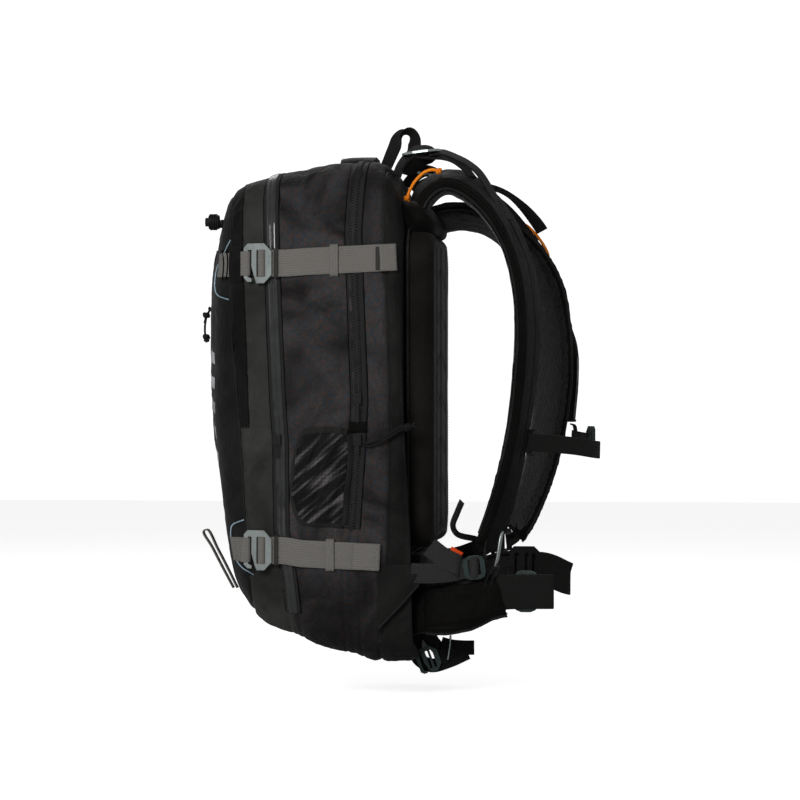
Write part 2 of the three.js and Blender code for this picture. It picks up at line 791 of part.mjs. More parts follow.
// The triangular stabiliser sewn to the pack's side, with the webbing that runs forward from its
// tip to the ladder lock under the strap's end.
function buildLowerAnchors() {
  const gusset = new THREE.Shape([
    new THREE.Vector2(-58, -182),
    new THREE.Vector2(-58, -252),
    new THREE.Vector2(-12, -202),
    new THREE.Vector2(-12, -180),
  ]);
  const cloth = { inside: 142.6, thickness: 1.8 };
  const flat = new THREE.ExtrudeGeometry(gusset, { depth: cloth.thickness, bevelEnabled: false });
  const basis = new THREE.Matrix4().makeBasis(Y, Z, X).setPosition(cloth.inside, 0, 0);
  const routes = {
    right: [
      [143.6, -20, -190],
      [143, 2, -190],
      [141, 18, -188],
      [138.5, 33, -186],
    ],
    left: [
      [143.6, -20, -190],
      [143, 8, -187],
      [140.5, 30, -179],
      [137.5, 46, -172],
    ],
  };
  const lockCentres = { right: [136, 47, -184], left: [135, 60, -169] };
  const along = new THREE.Vector3(-0.12, 0.98, 0.14).normalize();
  const up = Z.clone().addScaledVector(along, -along.z).normalize();
  for (const side of ["right", "left"]) {
    const strip = webbing(routes[side], HARNESS_WEBBING, Z, 8);
    const anchor = join(flat.clone().applyMatrix4(basis), strip);
    const lock = stand(ladderPlate(24, 26, 2.6), along, up, lockCentres[side]);
    const onSide = side === "right" ? (geometry) => geometry : mirrored;
    add(`lower_anchor_${side}`, onSide(anchor), COLOURS.webbing);
    add(`ladder_lock_${side}`, onSide(lock), COLOURS.darkMetal, METAL);
  }
}

function buildSternumStrap() {
  const right = [
    [84, 104, -47],
    [66, 128, -49],
    [42, 154, -52],
    [16, 175, -56],
    [2, 181, -57],
  ];
  const left = [
    [-76, 147, -38],
    [-68, 152, -39],
    [-58, 158, -41],
    [-48, 162, -42],
  ];
  add("sternum_strap_right", webbing(right, STERNUM_WEBBING, Z, 10), COLOURS.webbing);
  add("sternum_strap_left", webbing(left, STERNUM_WEBBING, Z, 6), COLOURS.webbing);
  const along = new THREE.Vector3(-0.93, -0.36, 0).normalize();
  const hook = stand(hookPlate(SMALL_HOOK), along, Z, [-29, 170, -45]);
  add("sternum_hook", hook, COLOURS.darkMetal, METAL);
}

function buildTrigger() {
  const handle = join(
    onLeftStrap(0.625, 0.7, TRIGGER.grip, TRIGGER.lift),
    onLeftStrap(0.685, 0.7, TRIGGER.bar, TRIGGER.lift),
  );
  add("trigger_handle", handle, COLOURS.orange);
}

function buildStrapCords() {
  const right = [
    [74, -33, 226],
    [73.5, -30.5, 234],
    [73, -23, 247],
    [73, -12, 256.5],
    [73, -4, 258.5],
    [73, 3, 257],
  ];
  const left = [
    [-92, 84, 207],
    [-93, 92, 206],
    [-94, 102, 197],
    [-95, 112, 184],
    [-95, 118, 172],
    [-95, 119, 164],
  ];
  add("strap_cord_right", cordTube(right, CORD.strap, X, 16), COLOURS.orange);
  add("strap_cord_left", cordTube(left, CORD.strap, X, 16), COLOURS.orange);
}

buildShoulderStraps();
buildSternumStrap();
buildTrigger();
buildStrapCords();

// ---------- hip belt, stabilisers and leg strap ----------

function hipWing(route, webRoute) {
  const frames = framesAlong(route, 12, Z);
  const rings = frames.map((frame) => {
    const width = THREE.MathUtils.lerp(HIP_PAD.wide, HIP_PAD.narrow, frame.t);
    return place(frame, paddedSection(width, HIP_PAD.thickness, HIP_PAD.chamfer));
  });
  return join(loft(rings), webbing(webRoute, HIP_WEBBING, Z, 12));
}

function buildHipBelt() {
  const wings = {
    right: [
      [115, -12, -232],
      [121, 8, -231],
      [125, 36, -227],
      [125, 62, -220],
      [121, 84, -213],
    ],
    left: [
      [-115, -12, -228],
      [-121, 8, -226],
      [-125, 40, -215],
      [-124, 74, -204],
      [-118, 108, -198],
    ],
  };
  // Each webbing runs forward, folds at its end and comes back inside to its metal piece.
  const webs = {
    right: [
      [122, 80, -212],
      [120, 100, -211.5],
      [118, 122, -211.5],
      [116.5, 132, -211.5],
      [113, 132, -211.5],
      [112, 127, -211.5],
      [112, 119, -211.5],
    ],
    left: [
      [-118, 104, -200],
      [-116, 120, -204],
      [-114.5, 138, -210],
      [-113, 143, -212],
      [-110, 142, -212],
      [-108, 136, -209],
      [-106.5, 122, -202],
    ],
  };
  for (const side of ["right", "left"]) {
    add(`hip_wing_${side}`, hipWing(wings[side], webs[side]), COLOURS.foam);
  }
  const loop = stand(ladderPlate(26, 46, 3), Y, Z, [112, 102.5, -211.5]);
  const hook = stand(hookPlate(HIP_HOOK), Y, Z, [-106, 92, -197]);
  add("hip_loop_right", loop, COLOURS.darkMetal, METAL);
  add("hip_hook_left", hook, COLOURS.darkMetal, METAL);
}

function buildLegStrap() {
  const route = [
    [30, -24, -266],
    [30, -28, -280],
    [30, -24, -294],
    [30, -10, -302],
    [30, 12, -297],
    [30, 40, -286],
  ];
  // The webbing's face looks sideways, so its width lies in the plane of the route.
  const frames = framesAlong(route, 14, X);
  const rings = frames.map((frame) => place(frame, flatSection(2, 16)));
  add("leg_strap", loft(rings), COLOURS.webbing);
  const along = new THREE.Vector3(0, 0.94, 0.34);
  const up = new THREE.Vector3(0, -0.34, 0.94);
  const hook = stand(hookPlate(SMALL_HOOK), along, up, [36, -12, -295]);
  add("leg_strap_hook", hook, COLOURS.darkMetal, METAL);
}

// ---------- pull cords ----------

function buildPullCords() {
  const side = [
    [149.5, -75.5, -46],
    [151, -66, -47],
    [151.5, -54, -42],
    [151.5, -42, -35],
    [151, -32, -29],
    [150, -25, -30],
  ];
  const front = [
    [40, -262, 104],
    [40, -266, 96],
    [40, -268, 86],
    [40, -268, 76],
    [40, -266, 68],
  ];
  add("side_pull_cord", cordTube(side, CORD.pull, X, 16), COLOURS.webbing);
  add("front_pull_cord", cordTube(front, CORD.pull, X, 10), COLOURS.webbing);
}

buildHipBelt();
buildLegStrap();
buildPullCords();

export default backpack;
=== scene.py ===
import math

import bmesh
import bpy
import numpy as np
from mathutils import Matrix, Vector, kdtree, noise


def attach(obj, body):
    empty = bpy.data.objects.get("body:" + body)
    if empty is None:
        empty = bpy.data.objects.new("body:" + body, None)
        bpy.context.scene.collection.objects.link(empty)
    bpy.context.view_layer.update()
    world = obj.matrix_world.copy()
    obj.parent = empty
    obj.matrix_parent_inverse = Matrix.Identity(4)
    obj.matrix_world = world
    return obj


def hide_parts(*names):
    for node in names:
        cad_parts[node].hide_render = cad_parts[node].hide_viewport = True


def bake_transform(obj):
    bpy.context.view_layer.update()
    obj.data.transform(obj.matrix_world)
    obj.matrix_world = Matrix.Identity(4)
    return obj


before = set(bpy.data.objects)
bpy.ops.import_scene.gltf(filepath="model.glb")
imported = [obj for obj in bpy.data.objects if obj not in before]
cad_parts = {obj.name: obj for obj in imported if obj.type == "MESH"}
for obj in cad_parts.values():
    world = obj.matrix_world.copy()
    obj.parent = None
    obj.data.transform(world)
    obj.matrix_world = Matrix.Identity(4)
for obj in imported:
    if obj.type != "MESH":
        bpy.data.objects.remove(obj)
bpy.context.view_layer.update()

# An avalanche airbag backpack: its looks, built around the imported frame.

MM = 0.001
X, Y, Z = np.eye(3)
RIGHT, LEFT = 1, -1
SIDES = {"right": RIGHT, "left": LEFT}
EDGES = (("a", -1), ("b", 1))  # the two edges of a strip: their labels and their signs across it

# Widths of the webbing.
SKI_WIDTH = 30
SKI_LOOP_WIDTH = 27
HAUL_WIDTH = 25
AXE_WIDTH = 12
LIFTER_WIDTH = 24
LIFTER_ANCHOR_WIDTH = 22
LIFTER_TAIL_WIDTH = 17
LOWER_WIDTH = 22
STRAP_END_WIDTH = 23
STERNUM_WIDTHS = {"right": 20, "left": 14}
HIP_WIDTH = 38
LEG_WIDTH = 16

# ---------------------------------------------------------------- camera, lights and floor

CAMERA_AZIMUTH = math.radians(95.5)
CAMERA_DISTANCE = 3.2
CAMERA_TARGET = Vector((0, -0.048, 0))
CAMERA_LENS = 125.2
FLOOR_Z = -0.335
WORLD_FILL = 0.10  # the room's light on the object; the camera sees the room as plain white
WORLD_GLOSS = 0.45  # what shiny pieces reflect of the room
FLOOR_GLOW = 0.78
# Large soft lights: a key over the camera, a fill from each side and a rim from behind. Each has its
# place, size and power.
LIGHTS = [
    ("key", (2.9, -0.7, 1.0), 0.9, 62),
    ("front_strip", (0.9, -2.4, 0.6), 1.0, 4),
    ("back_strip", (0.6, 2.3, 0.9), 1.0, 4),
    ("rim", (-1.9, -0.6, 1.8), 1.2, 10),
]


def for_camera(tree, socket, seen, otherwise, mirrored=0.0):
    """One strength where the camera looks straight at it, others for its light and its reflection."""
    path = tree.nodes.new("ShaderNodeLightPath")
    total = otherwise
    for ray, strength in (("Is Camera Ray", seen), ("Is Glossy Ray", mirrored)):
        step = tree.nodes.new("ShaderNodeMath")
        step.operation = "MULTIPLY_ADD"
        tree.links.new(path.outputs[ray], step.inputs[0])
        step.inputs[1].default_value = strength
        if isinstance(total, float):
            step.inputs[2].default_value = total
        else:
            tree.links.new(total, step.inputs[2])
        total = step.outputs[0]
    tree.links.new(total, socket)


def build_stage():
    """The camera, the lights, the plain white room and the floor."""
    camera = bpy.data.objects.new("camera", bpy.data.cameras.new("camera"))
    bpy.context.scene.collection.objects.link(camera)
    back = Vector((math.sin(CAMERA_AZIMUTH), -math.cos(CAMERA_AZIMUTH), 0))
    camera.location = CAMERA_TARGET + back * CAMERA_DISTANCE
    camera.rotation_euler = (-back).to_track_quat("-Z", "Y").to_euler()
    camera.data.lens = CAMERA_LENS
    camera.data.sensor_width = 36
    bpy.context.scene.camera = camera

    world = bpy.data.worlds.new("studio")
    world.use_nodes = True
    background = world.node_tree.nodes["Background"]
    background.inputs["Color"].default_value = (1, 1, 1, 1)
    for_camera(world.node_tree, background.inputs["Strength"], 1.0, WORLD_FILL, WORLD_GLOSS)
    bpy.context.scene.world = world

    for name, place, size, power in LIGHTS:
        light = bpy.data.lights.new(name, "AREA")
        light.energy = power
        light.size = size
        lamp = bpy.data.objects.new(name, light)
        lamp.location = place
        lamp.rotation_euler = (-Vector(place)).to_track_quat("-Z", "Y").to_euler()
        bpy.context.scene.collection.objects.link(lamp)

    mesh = bpy.data.meshes.new("floor")
    reach = 6
    corners = [(-reach, -reach), (reach, -reach), (reach, reach), (-reach, reach)]
    mesh.from_pydata([(x, y, FLOOR_Z) for x, y in corners], [], [(0, 1, 2, 3)])
    floor = bpy.data.objects.new("floor", mesh)
    bpy.context.scene.collection.objects.link(floor)
    paint = bpy.data.materials.new("pale_floor")
    paint.use_nodes = True
    shader = paint.node_tree.nodes["Principled BSDF"]
    shader.inputs["Base Color"].default_value = (0.88, 0.88, 0.88, 1)
    shader.inputs["Roughness"].default_value = 0.9
    shader.inputs["Emission Color"].default_value = (1, 1, 1, 1)
    for_camera(paint.node_tree, shader.inputs["Emission Strength"], FLOOR_GLOW, 0.0)
    floor.data.materials.append(paint)


bpy.context.scene.view_settings.view_transform = "Standard"
build_stage()

# ---------------------------------------------------------------- materials


class Paint:
    """A Principled material with short calls for its texture nodes."""

    def __init__(self, name, roughness=0.7, metallic=0.0, coordinates="Object"):
        self.material = bpy.data.materials.new(name)
        self.material.use_nodes = True
        self.tree = self.material.node_tree
        self.shader = self.tree.nodes["Principled BSDF"]
        self.set("Roughness", roughness)
        self.set("Metallic", metallic)
        self.set("Specular IOR Level", 0.5 if metallic else 0.04)
        self.place = self.tree.nodes.new("ShaderNodeTexCoord").outputs[coordinates]
        self.normal = None

    def set(self, socket, value):
        self.shader.inputs[socket].default_value = value

    def node(self, kind, links=None, **settings):
        made = self.tree.nodes.new("ShaderNode" + kind)
        for name, value in settings.items():
            if hasattr(made, name):
                setattr(made, name, value)
            else:
                made.inputs[name.replace("_", " ")].default_value = value
        for socket, source in (links or {}).items():
            self.tree.links.new(source, made.inputs[socket])
        return made

    def math(self, operation, a, b=None, clamp=False):
        made = self.tree.nodes.new("ShaderNodeMath")
        made.operation = operation
        made.use_clamp = clamp
        for i, value in enumerate([a, b]):
            if value is None:
                continue
            if isinstance(value, (int, float)):
                made.inputs[i].default_value = value
            else:
                self.tree.links.new(value, made.inputs[i])
        return made.outputs[0]

    def noise(self, scale, detail=3.0, distortion=0.0):
        made = self.node("TexNoise", {"Vector": self.place}, Scale=scale, Detail=detail)
        made.inputs["Distortion"].default_value = distortion
        return made.outputs["Fac"]

    def creases(self, scale, sharpness=0.12):
        """Thin lines along the edges of warped cells, 1 in a crease and 0 beside it."""
        warp = self.node("TexNoise", {"Vector": self.place}, Scale=scale * 0.6, Detail=2.0)
        offset = self.node("VectorMath", {0: warp.outputs["Color"]}, operation="SCALE")
        offset.inputs["Scale"].default_value = 0.6 / scale
        moved = self.node("VectorMath", {0: self.place, 1: offset.outputs[0]}, operation="ADD")
        cells = self.node("TexVoronoi", {"Vector": moved.outputs[0]}, feature="DISTANCE_TO_EDGE", Scale=scale)
        near = self.math("DIVIDE", cells.outputs["Distance"], sharpness)
        return self.math("SUBTRACT", 1.0, near, clamp=True)

    def weave(self, period):
        """A plain weave on any face that looks along an axis."""
        axes = self.node("SeparateXYZ", {"Vector": self.place}).outputs
        waves = [self.math("SINE", self.math("MULTIPLY", axis, 2 * math.pi / period)) for axis in axes]
        return self.math("ADD", self.math("ADD", waves[0], waves[1]), waves[2])

    def ribs(self, across, along):
        """Webbing: ribs over the width, crossed by the columns of the warp. Needs UVs in metres."""
        uv = self.node("SeparateXYZ", {"Vector": self.place}).outputs
        columns = self.math("SINE", self.math("MULTIPLY", uv[0], 2 * math.pi / across))
        rows = self.math("SINE", self.math("MULTIPLY", uv[1], 2 * math.pi / along))
        return self.math("ADD", self.math("MULTIPLY", columns, 0.5), self.math("MULTIPLY", rows, columns))

    def painted_shade_patches(self):
        """Painted shade: broad darker areas with thin dark creases across, 0 in the darkest and 1 in the
        palest.
        """
        broad = self.math("SUBTRACT", self.noise(13, 3.5, 0.8), 0.37)
        level = self.math("MULTIPLY", broad, 4.5, clamp=True)
        lines = self.math("MULTIPLY", self.creases(46, 0.09), 0.2)
        return self.math("MULTIPLY", level, self.math("SUBTRACT", 1.0, lines))

    def lit_above(self, low, high):
        """0 below the height low and 1 above the height high, in metres."""
        height = self.node("SeparateXYZ", {"Vector": self.place}).outputs[2]
        rise = self.math("SUBTRACT", height, low)
        return self.math("DIVIDE", rise, high - low, clamp=True)

    def darken(self, level, darkest):
        """Scale the colour so far by the level, which runs from 0 to 1, down to the darkest."""
        scale = self.math("ADD", self.math("MULTIPLY", level, 1 - darkest), darkest)
        socket = self.shader.inputs["Base Color"]
        links = {0: socket.links[0].from_socket, "Scale": scale}
        scaled = self.node("VectorMath", links, operation="SCALE")
        self.tree.links.new(scaled.outputs[0], socket)

    def bump(self, height, distance, strength=1.0):
        links = {"Height": height}
        if self.normal:
            links["Normal"] = self.normal
        made = self.node("Bump", links, Distance=distance, Strength=strength)
        self.normal = made.outputs["Normal"]
        self.tree.links.new(self.normal, self.shader.inputs["Normal"])

    def colours(self, factor, stops):
        ramp = self.node("ValToRGB", {"Fac": factor}).color_ramp
        while len(ramp.elements) < len(stops):
            ramp.elements.new(0.5)
        for element, (position, colour) in zip(ramp.elements, stops):
            element.position = position
            element.color = (*colour, 1)
        out = self.tree.nodes[-1].outputs["Color"]
        self.tree.links.new(out, self.shader.inputs["Base Color"])
        return out

    def vary_roughness(self, factor, low, high):
        made = self.node("MapRange", {"Value": factor})
        made.inputs["To Min"].default_value = low
        made.inputs["To Max"].default_value = high
        self.tree.links.new(made.outputs[0], self.shader.inputs["Roughness"])


def shade(colour, factor):
    return tuple(min(1.0, channel * factor) for channel in colour)


def crinkle_fabric():
    """Light nylon with a permanent crinkle and a faint two-tone shimmer, with painted shade over it."""
    paint = Paint("crinkle_nylon")
    paint.colours(
        paint.noise(300, 2, 0.4),
        [(0.34, (0.030, 0.038, 0.048)), (0.5, (0.039, 0.037, 0.036)), (0.66, (0.056, 0.039, 0.037))],
    )
    # Painted shade: broad darker areas and darker creases, and the cloth darker towards the bottom, where it
    # turns down away from the light.
    paint.darken(paint.painted_shade_patches(), 0.28)
    paint.darken(paint.lit_above(-0.27, -0.15), 0.3)
    paint.vary_roughness(paint.noise(60), 0.5, 0.72)
    paint.set("Sheen Weight", 0.03)
    paint.set("Sheen Roughness", 0.45)
    paint.bump(paint.creases(62, 0.08), 0.0009, 0.5)
    paint.bump(paint.creases(120, 0.1), 0.0003, 0.4)
    paint.bump(paint.noise(300, 4), 0.0011, 0.85)
    paint.bump(paint.weave(0.0009), 0.00006, 0.5)
    return paint.material


def smooth_fabric(name, colour, weave=0.0011, sheen=0.02, roughness=(0.5, 0.66), grain=0.0004, darkest=0.55):
    paint = Paint(name)
    stops = [(0.3, shade(colour, 0.9)), (0.7, shade(colour, 1.3))]
    paint.colours(paint.noise(24, 5, 0.3), stops)
    # Painted shade: broad darker areas and darker creases, down to darkest.
    paint.darken(paint.painted_shade_patches(), darkest)
    paint.vary_roughness(paint.noise(60), *roughness)
    paint.set("Sheen Weight", sheen)
    paint.set("Sheen Roughness", 0.5)
    paint.bump(paint.noise(45, 3), grain, 0.5)
    paint.bump(paint.weave(weave), 0.0001, 0.6)
    return paint.material


def webbing_fabric(name, colour, along=0.0019, across=0.0026, sheen=0.03):
    paint = Paint(name, coordinates="UV")
    height = paint.ribs(across, along)
    paint.colours(
        paint.math("ADD", paint.math("MULTIPLY", height, 0.22), 0.5),
        [(0.15, shade(colour, 0.55)), (0.6, shade(colour, 1.0)), (0.95, shade(colour, 1.25))],
    )
    paint.vary_roughness(paint.noise(400), 0.5, 0.72)
    paint.set("Sheen Weight", sheen)
    paint.set("Sheen Roughness", 0.4)
    paint.bump(height, 0.00028, 0.8)
    paint.bump(paint.noise(900, 3), 0.0001, 0.4)
    return paint.material


def metal(name, colour, roughness=(0.28, 0.44)):
    """Anodised or plated metal with faint wear."""
    paint = Paint(name, metallic=1.0)
    wear = paint.noise(70, 5, 0.4)
    paint.colours(wear, [(0.3, shade(colour, 0.86)), (0.7, shade(colour, 1.1))])
    paint.vary_roughness(paint.noise(210, 4), *roughness)
    paint.bump(paint.noise(900, 3), 0.00005, 0.4)
    return paint.material


def plastic(name, colour, roughness=(0.36, 0.5), coat=0.0):
    paint = Paint(name)
    paint.colours(paint.noise(60, 3), [(0.3, shade(colour, 0.85)), (0.7, shade(colour, 1.15))])
    paint.vary_roughness(paint.noise(180), *roughness)
    paint.set("Coat Weight", coat)
    paint.bump(paint.noise(700, 3), 0.00008, 0.5)
    return paint.material


def mesh_fabric():
    """Stretch mesh: rows of small holes in a glossy knit, drawn into slanting folds, with painted highlights
    along the folds.
    """
    paint = Paint("stretch_mesh")
    axes = paint.node("SeparateXYZ", {"Vector": paint.place}).outputs
    pitch = 0.0030
    u = paint.math("SINE", paint.math("MULTIPLY", paint.math("ADD", axes[1], axes[2]), 2 * math.pi / pitch))
    v = paint.math("SINE", paint.math("MULTIPLY", paint.math("SUBTRACT", axes[1], axes[2]),
                                      2 * math.pi / pitch))
    knit = paint.math("ADD", paint.math("MULTIPLY", paint.math("MULTIPLY", u, v), 0.5), 0.5)
    across = paint.math("SUBTRACT", paint.math("MULTIPLY", axes[2], 0.76),
                        paint.math("MULTIPLY", axes[1], 0.65))
    along = paint.math("ADD", paint.math("MULTIPLY", axes[2], 0.07), paint.math("MULTIPLY", axes[1], 0.08))
    slanted = paint.node("CombineXYZ", {"X": across, "Y": along})
    # Painted highlights: pale bands along the slanting folds stand in for the glossy knit's reflections.
    folds = paint.node("TexNoise", {"Vector": slanted.outputs[0]}, Scale=165.0, Detail=1.5).outputs["Fac"]
    painted_highlight = paint.math("MULTIPLY", paint.math("SUBTRACT", folds, 0.49, clamp=True), 5.5, clamp=True)
    level = paint.math("MULTIPLY", knit, paint.math("ADD", paint.math("MULTIPLY", painted_highlight, 0.85), 0.15))
    paint.colours(level, [(0.05, (0.004, 0.004, 0.004)), (0.35, (0.03, 0.028, 0.028)),
                          (0.85, (0.17, 0.163, 0.167))])
    paint.set("Roughness", 0.5)
    paint.bump(knit, 0.0003, 0.5)
    return paint.material


def spacer_mesh():
    """The open knit over the pads that touch the wearer."""
    paint = Paint("spacer_mesh")
    cells = paint.node("TexVoronoi", {"Vector": paint.place}, Scale=330.0).outputs["Distance"]
    paint.colours(cells, [(0.15, (0.004, 0.004, 0.004)), (0.55, (0.016, 0.0155, 0.015))])
    paint.set("Roughness", 0.85)
    paint.set("Sheen Weight", 0.2)
    paint.bump(cells, 0.0006, 0.8)
    paint.bump(paint.noise(30, 3), 0.0006, 0.4)
    return paint.material


def circuit_board():
    """Solder mask over a net of tracks."""
    paint = Paint("solder_mask", roughness=0.35)
    tracks = paint.creases(170, 0.05)
    paint.colours(tracks, [(0.3, (0.01, 0.08, 0.03)), (0.7, (0.03, 0.2, 0.08))])
    paint.bump(tracks, 0.0001, 0.5)
    return paint.material


FABRIC = crinkle_fabric()
PANEL = smooth_fabric("coated_panel", (0.010, 0.0102, 0.0104), roughness=(0.42, 0.56))
GUSSET = smooth_fabric("gusset_fabric", (0.031, 0.0312, 0.029), weave=0.0014)
BAND = smooth_fabric("woven_band", (0.006, 0.006, 0.0058), weave=0.0022)
STRAP_CLOTH = smooth_fabric("strap_cloth", (0.0028, 0.0025, 0.0022), weave=0.0016)
REAR_BAND = smooth_fabric("rear_band", (0.0105, 0.0102, 0.0098), weave=0.002)
FOAM = smooth_fabric("foam_laminate", (0.0078, 0.007, 0.0062), weave=0.0016, grain=0.0008)
BINDING = smooth_fabric("edge_binding", (0.016, 0.016, 0.0155), weave=0.0018)
BLACK_WEB = webbing_fabric("black_webbing_weave", (0.0115, 0.0113, 0.0108))
GREY_WEB = webbing_fabric("grey_webbing_weave", (0.166, 0.158, 0.146), sheen=0.04)
# Painted shadow: darker webbing laid where the grey straps are in shade.
PAINTED_SHADOW_WEB = webbing_fabric("painted_shadow_webbing_weave", (0.042, 0.040, 0.038))
RIBBED_WEB = webbing_fabric("ribbed_webbing_weave", (0.028, 0.028, 0.0275), along=0.0034)
ZIP_TAPE = webbing_fabric("zip_tape_weave", (0.022, 0.0226, 0.022), along=0.0016, across=0.0022)
ZIP_FILM = plastic("water_resistant_film", (0.022, 0.0228, 0.0235), roughness=(0.2, 0.32), coat=0.5)
TOOTH = plastic("zip_tooth", (0.02, 0.02, 0.021), roughness=(0.42, 0.55), coat=0.0)
SATIN = metal("satin_anodised", (0.27, 0.30, 0.295))
DARK_METAL = metal("dark_anodised", (0.032, 0.044, 0.042))
BLACK_METAL = metal("black_plated", (0.010, 0.010, 0.0105))
BLACK_PLASTIC = plastic("moulded_black", (0.012, 0.012, 0.0125))
THREAD = smooth_fabric("thread", (0.026, 0.026, 0.0255), weave=0.0007)
GREY_THREAD = smooth_fabric("grey_thread", (0.03, 0.03, 0.03), weave=0.0007)
PALE_THREAD = smooth_fabric("pale_thread", (0.2, 0.2, 0.2), weave=0.0007)
REFLECTIVE = smooth_fabric("reflective_print", (0.42, 0.42, 0.44), weave=0.0012, sheen=0.0)
PIPING = smooth_fabric("pale_piping", (0.30, 0.40, 0.47), weave=0.0012)
ORANGE_CORD = smooth_fabric("orange_braid", (0.98, 0.24, 0.016), weave=0.0014, darkest=0.95)
RED_TAB = smooth_fabric("red_tab_fabric", (0.78, 0.075, 0.014), weave=0.0014, darkest=0.8)
BLACK_CORD = smooth_fabric("black_braid", (0.014, 0.0144, 0.014), weave=0.0012)
# Painted shadow: a near-black cord for the shade in the grooves beside the zips.
PAINTED_SEAM_SHADOW = smooth_fabric("seam_shadow_cord", (0.003, 0.003, 0.003), weave=0.0012, sheen=0.0)
MESH = mesh_fabric()
SPACER = spacer_mesh()

# ---------------------------------------------------------------- mesh helpers


def mesh(name, points, faces, material, body=None, uvs=None, slot=None, smooth=True):
    """A piece from points in millimetres. body is the CAD body that it rides on."""
    data = bpy.data.meshes.new(name)
    data.from_pydata((np.asarray(points, float) * MM).tolist(), [], [list(face) for face in faces])
    data.polygons.foreach_set("use_smooth", [smooth] * len(data.polygons))
    if uvs is not None:
        layer = data.uv_layers.new(name="UVMap")
        corners = np.zeros(len(data.loops), int)
        data.loops.foreach_get("vertex_index", corners)
        layer.data.foreach_set("uv", (np.asarray(uvs, float)[corners] * MM).ravel())
    shell = bmesh.new()
    shell.from_mesh(data)
    bmesh.ops.recalc_face_normals(shell, faces=shell.faces)
    shell.to_mesh(data)
    shell.free()
    data.materials.append(material)
    data.update()
    piece = bpy.data.objects.new(name, data)
    bpy.context.scene.collection.objects.link(piece)
    if body:
        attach(piece, body)
    return piece


def grid_faces(rows, columns, wrap=True):
    faces = []
    last = columns if wrap else columns - 1
    for r in range(rows - 1):
        for c in range(last):
            a, b = r * columns + c, r * columns + (c + 1) % columns
            faces.append((a, b, b + columns, a + columns))
    return faces


def unit(vectors):
    lengths = np.linalg.norm(vectors, axis=-1, keepdims=True)
    return vectors / np.maximum(lengths, 1e-9)


def resample(points, count):
    """count points at even distances along a polyline."""
    points = np.asarray(points, float)
    steps = np.linalg.norm(np.diff(points, axis=0), axis=1)
    travelled = np.concatenate([[0], np.cumsum(steps)])
    wanted = np.linspace(0, travelled[-1], count)
    return np.stack([np.interp(wanted, travelled, points[:, k]) for k in range(points.shape[1])], 1)


def smoothstep(t, low, high):
    t = np.clip((t - low) / (high - low), 0, 1)
    return t * t * (3 - 2 * t)


def curve_through(points, spacing=2.0):
    """A centripetal Catmull-Rom curve through the points, at an even spacing."""
    p = np.asarray(points, float)
    p = np.vstack([2 * p[0] - p[1], p, 2 * p[-1] - p[-2]])
    dense = []
    for i in range(1, len(p) - 2):
        p0, p1, p2, p3 = p[i - 1 : i + 3]
        t0 = 0.0
        t1 = t0 + np.linalg.norm(p1 - p0) ** 0.5
        t2 = t1 + np.linalg.norm(p2 - p1) ** 0.5
        t3 = t2 + np.linalg.norm(p3 - p2) ** 0.5
        t = np.linspace(t1, t2, 24, endpoint=i == len(p) - 3)[:, None]
        a1 = (t1 - t) / (t1 - t0) * p0 + (t - t0) / (t1 - t0) * p1
        a2 = (t2 - t) / (t2 - t1) * p1 + (t - t1) / (t2 - t1) * p2
        a3 = (t3 - t) / (t3 - t2) * p2 + (t - t2) / (t3 - t2) * p3
        b1 = (t2 - t) / (t2 - t0) * a1 + (t - t0) / (t2 - t0) * a2
        b2 = (t3 - t) / (t3 - t1) * a2 + (t - t1) / (t3 - t1) * a3
        dense.append((t2 - t) / (t2 - t1) * b1 + (t - t1) / (t2 - t1) * b2)
    dense = np.vstack(dense)
    length = np.linalg.norm(np.diff(dense, axis=0), axis=1).sum()
    return resample(dense, max(3, int(round(length / spacing)) + 1))


def frames(route, hint, tilt=0.0):
    """Across and outward directions along a route. hint is the width's direction, one or one each."""
    tangent = unit(np.gradient(route, axis=0))
    hint = np.broadcast_to(np.asarray(hint, float), route.shape)
    across = unit(hint - (hint * tangent).sum(1, keepdims=True) * tangent)
    outward = np.cross(across, tangent)
    lean = np.broadcast_to(np.asarray(tilt, float), len(route))[:, None]
    leaned = across * np.cos(lean) - outward * np.sin(lean)
    return leaned, outward * np.cos(lean) + across * np.sin(lean)


def sweep(name, route, sections, across, outward, material, body=None, slot=None):
    """Carries one section, or one for each station, along a route, and closes both ends."""
    sections = np.asarray(sections, float)
    if sections.ndim == 2:
        sections = np.broadcast_to(sections, (len(route), *sections.shape))
    count = sections.shape[1]
    rings = (
        route[:, None]
        + across[:, None] * sections[..., :1]
        + outward[:, None] * sections[..., 1:]
    )
    travelled = np.concatenate([[0], np.cumsum(np.linalg.norm(np.diff(route, axis=0), axis=1))])
    uvs = np.stack([sections[..., 0], np.broadcast_to(travelled[:, None], sections.shape[:2])], -1)
    faces = grid_faces(len(route), count)
    faces.append(tuple(range(count))[::-1])
    faces.append(tuple((len(route) - 1) * count + i for i in range(count)))
    return mesh(name, rings.reshape(-1, 3), faces, material, body, uvs.reshape(-1, 2), slot)


def strip_section(width, thickness, columns=9):
    """A flat strip with round edges."""
    half, r = width / 2, thickness / 2
    u = np.linspace(-half + r, half - r, columns)
    ends = np.linspace(-np.pi / 2, np.pi / 2, 5)[1:-1]
    right = np.stack([half - r + r * np.cos(ends), r * np.sin(ends)], 1)
    upper = np.stack([u[::-1], np.full(columns, r)], 1)
    left = np.stack([-half + r - r * np.cos(ends), -r * np.sin(ends)], 1)
    lower = np.stack([u, np.full(columns, -r)], 1)
    return np.vstack([lower, right, upper, left])


def round_section(radius, sides=10):
    angle = np.linspace(0, 2 * np.pi, sides, endpoint=False)
    return np.stack([radius * np.cos(angle), radius * np.sin(angle)], 1)


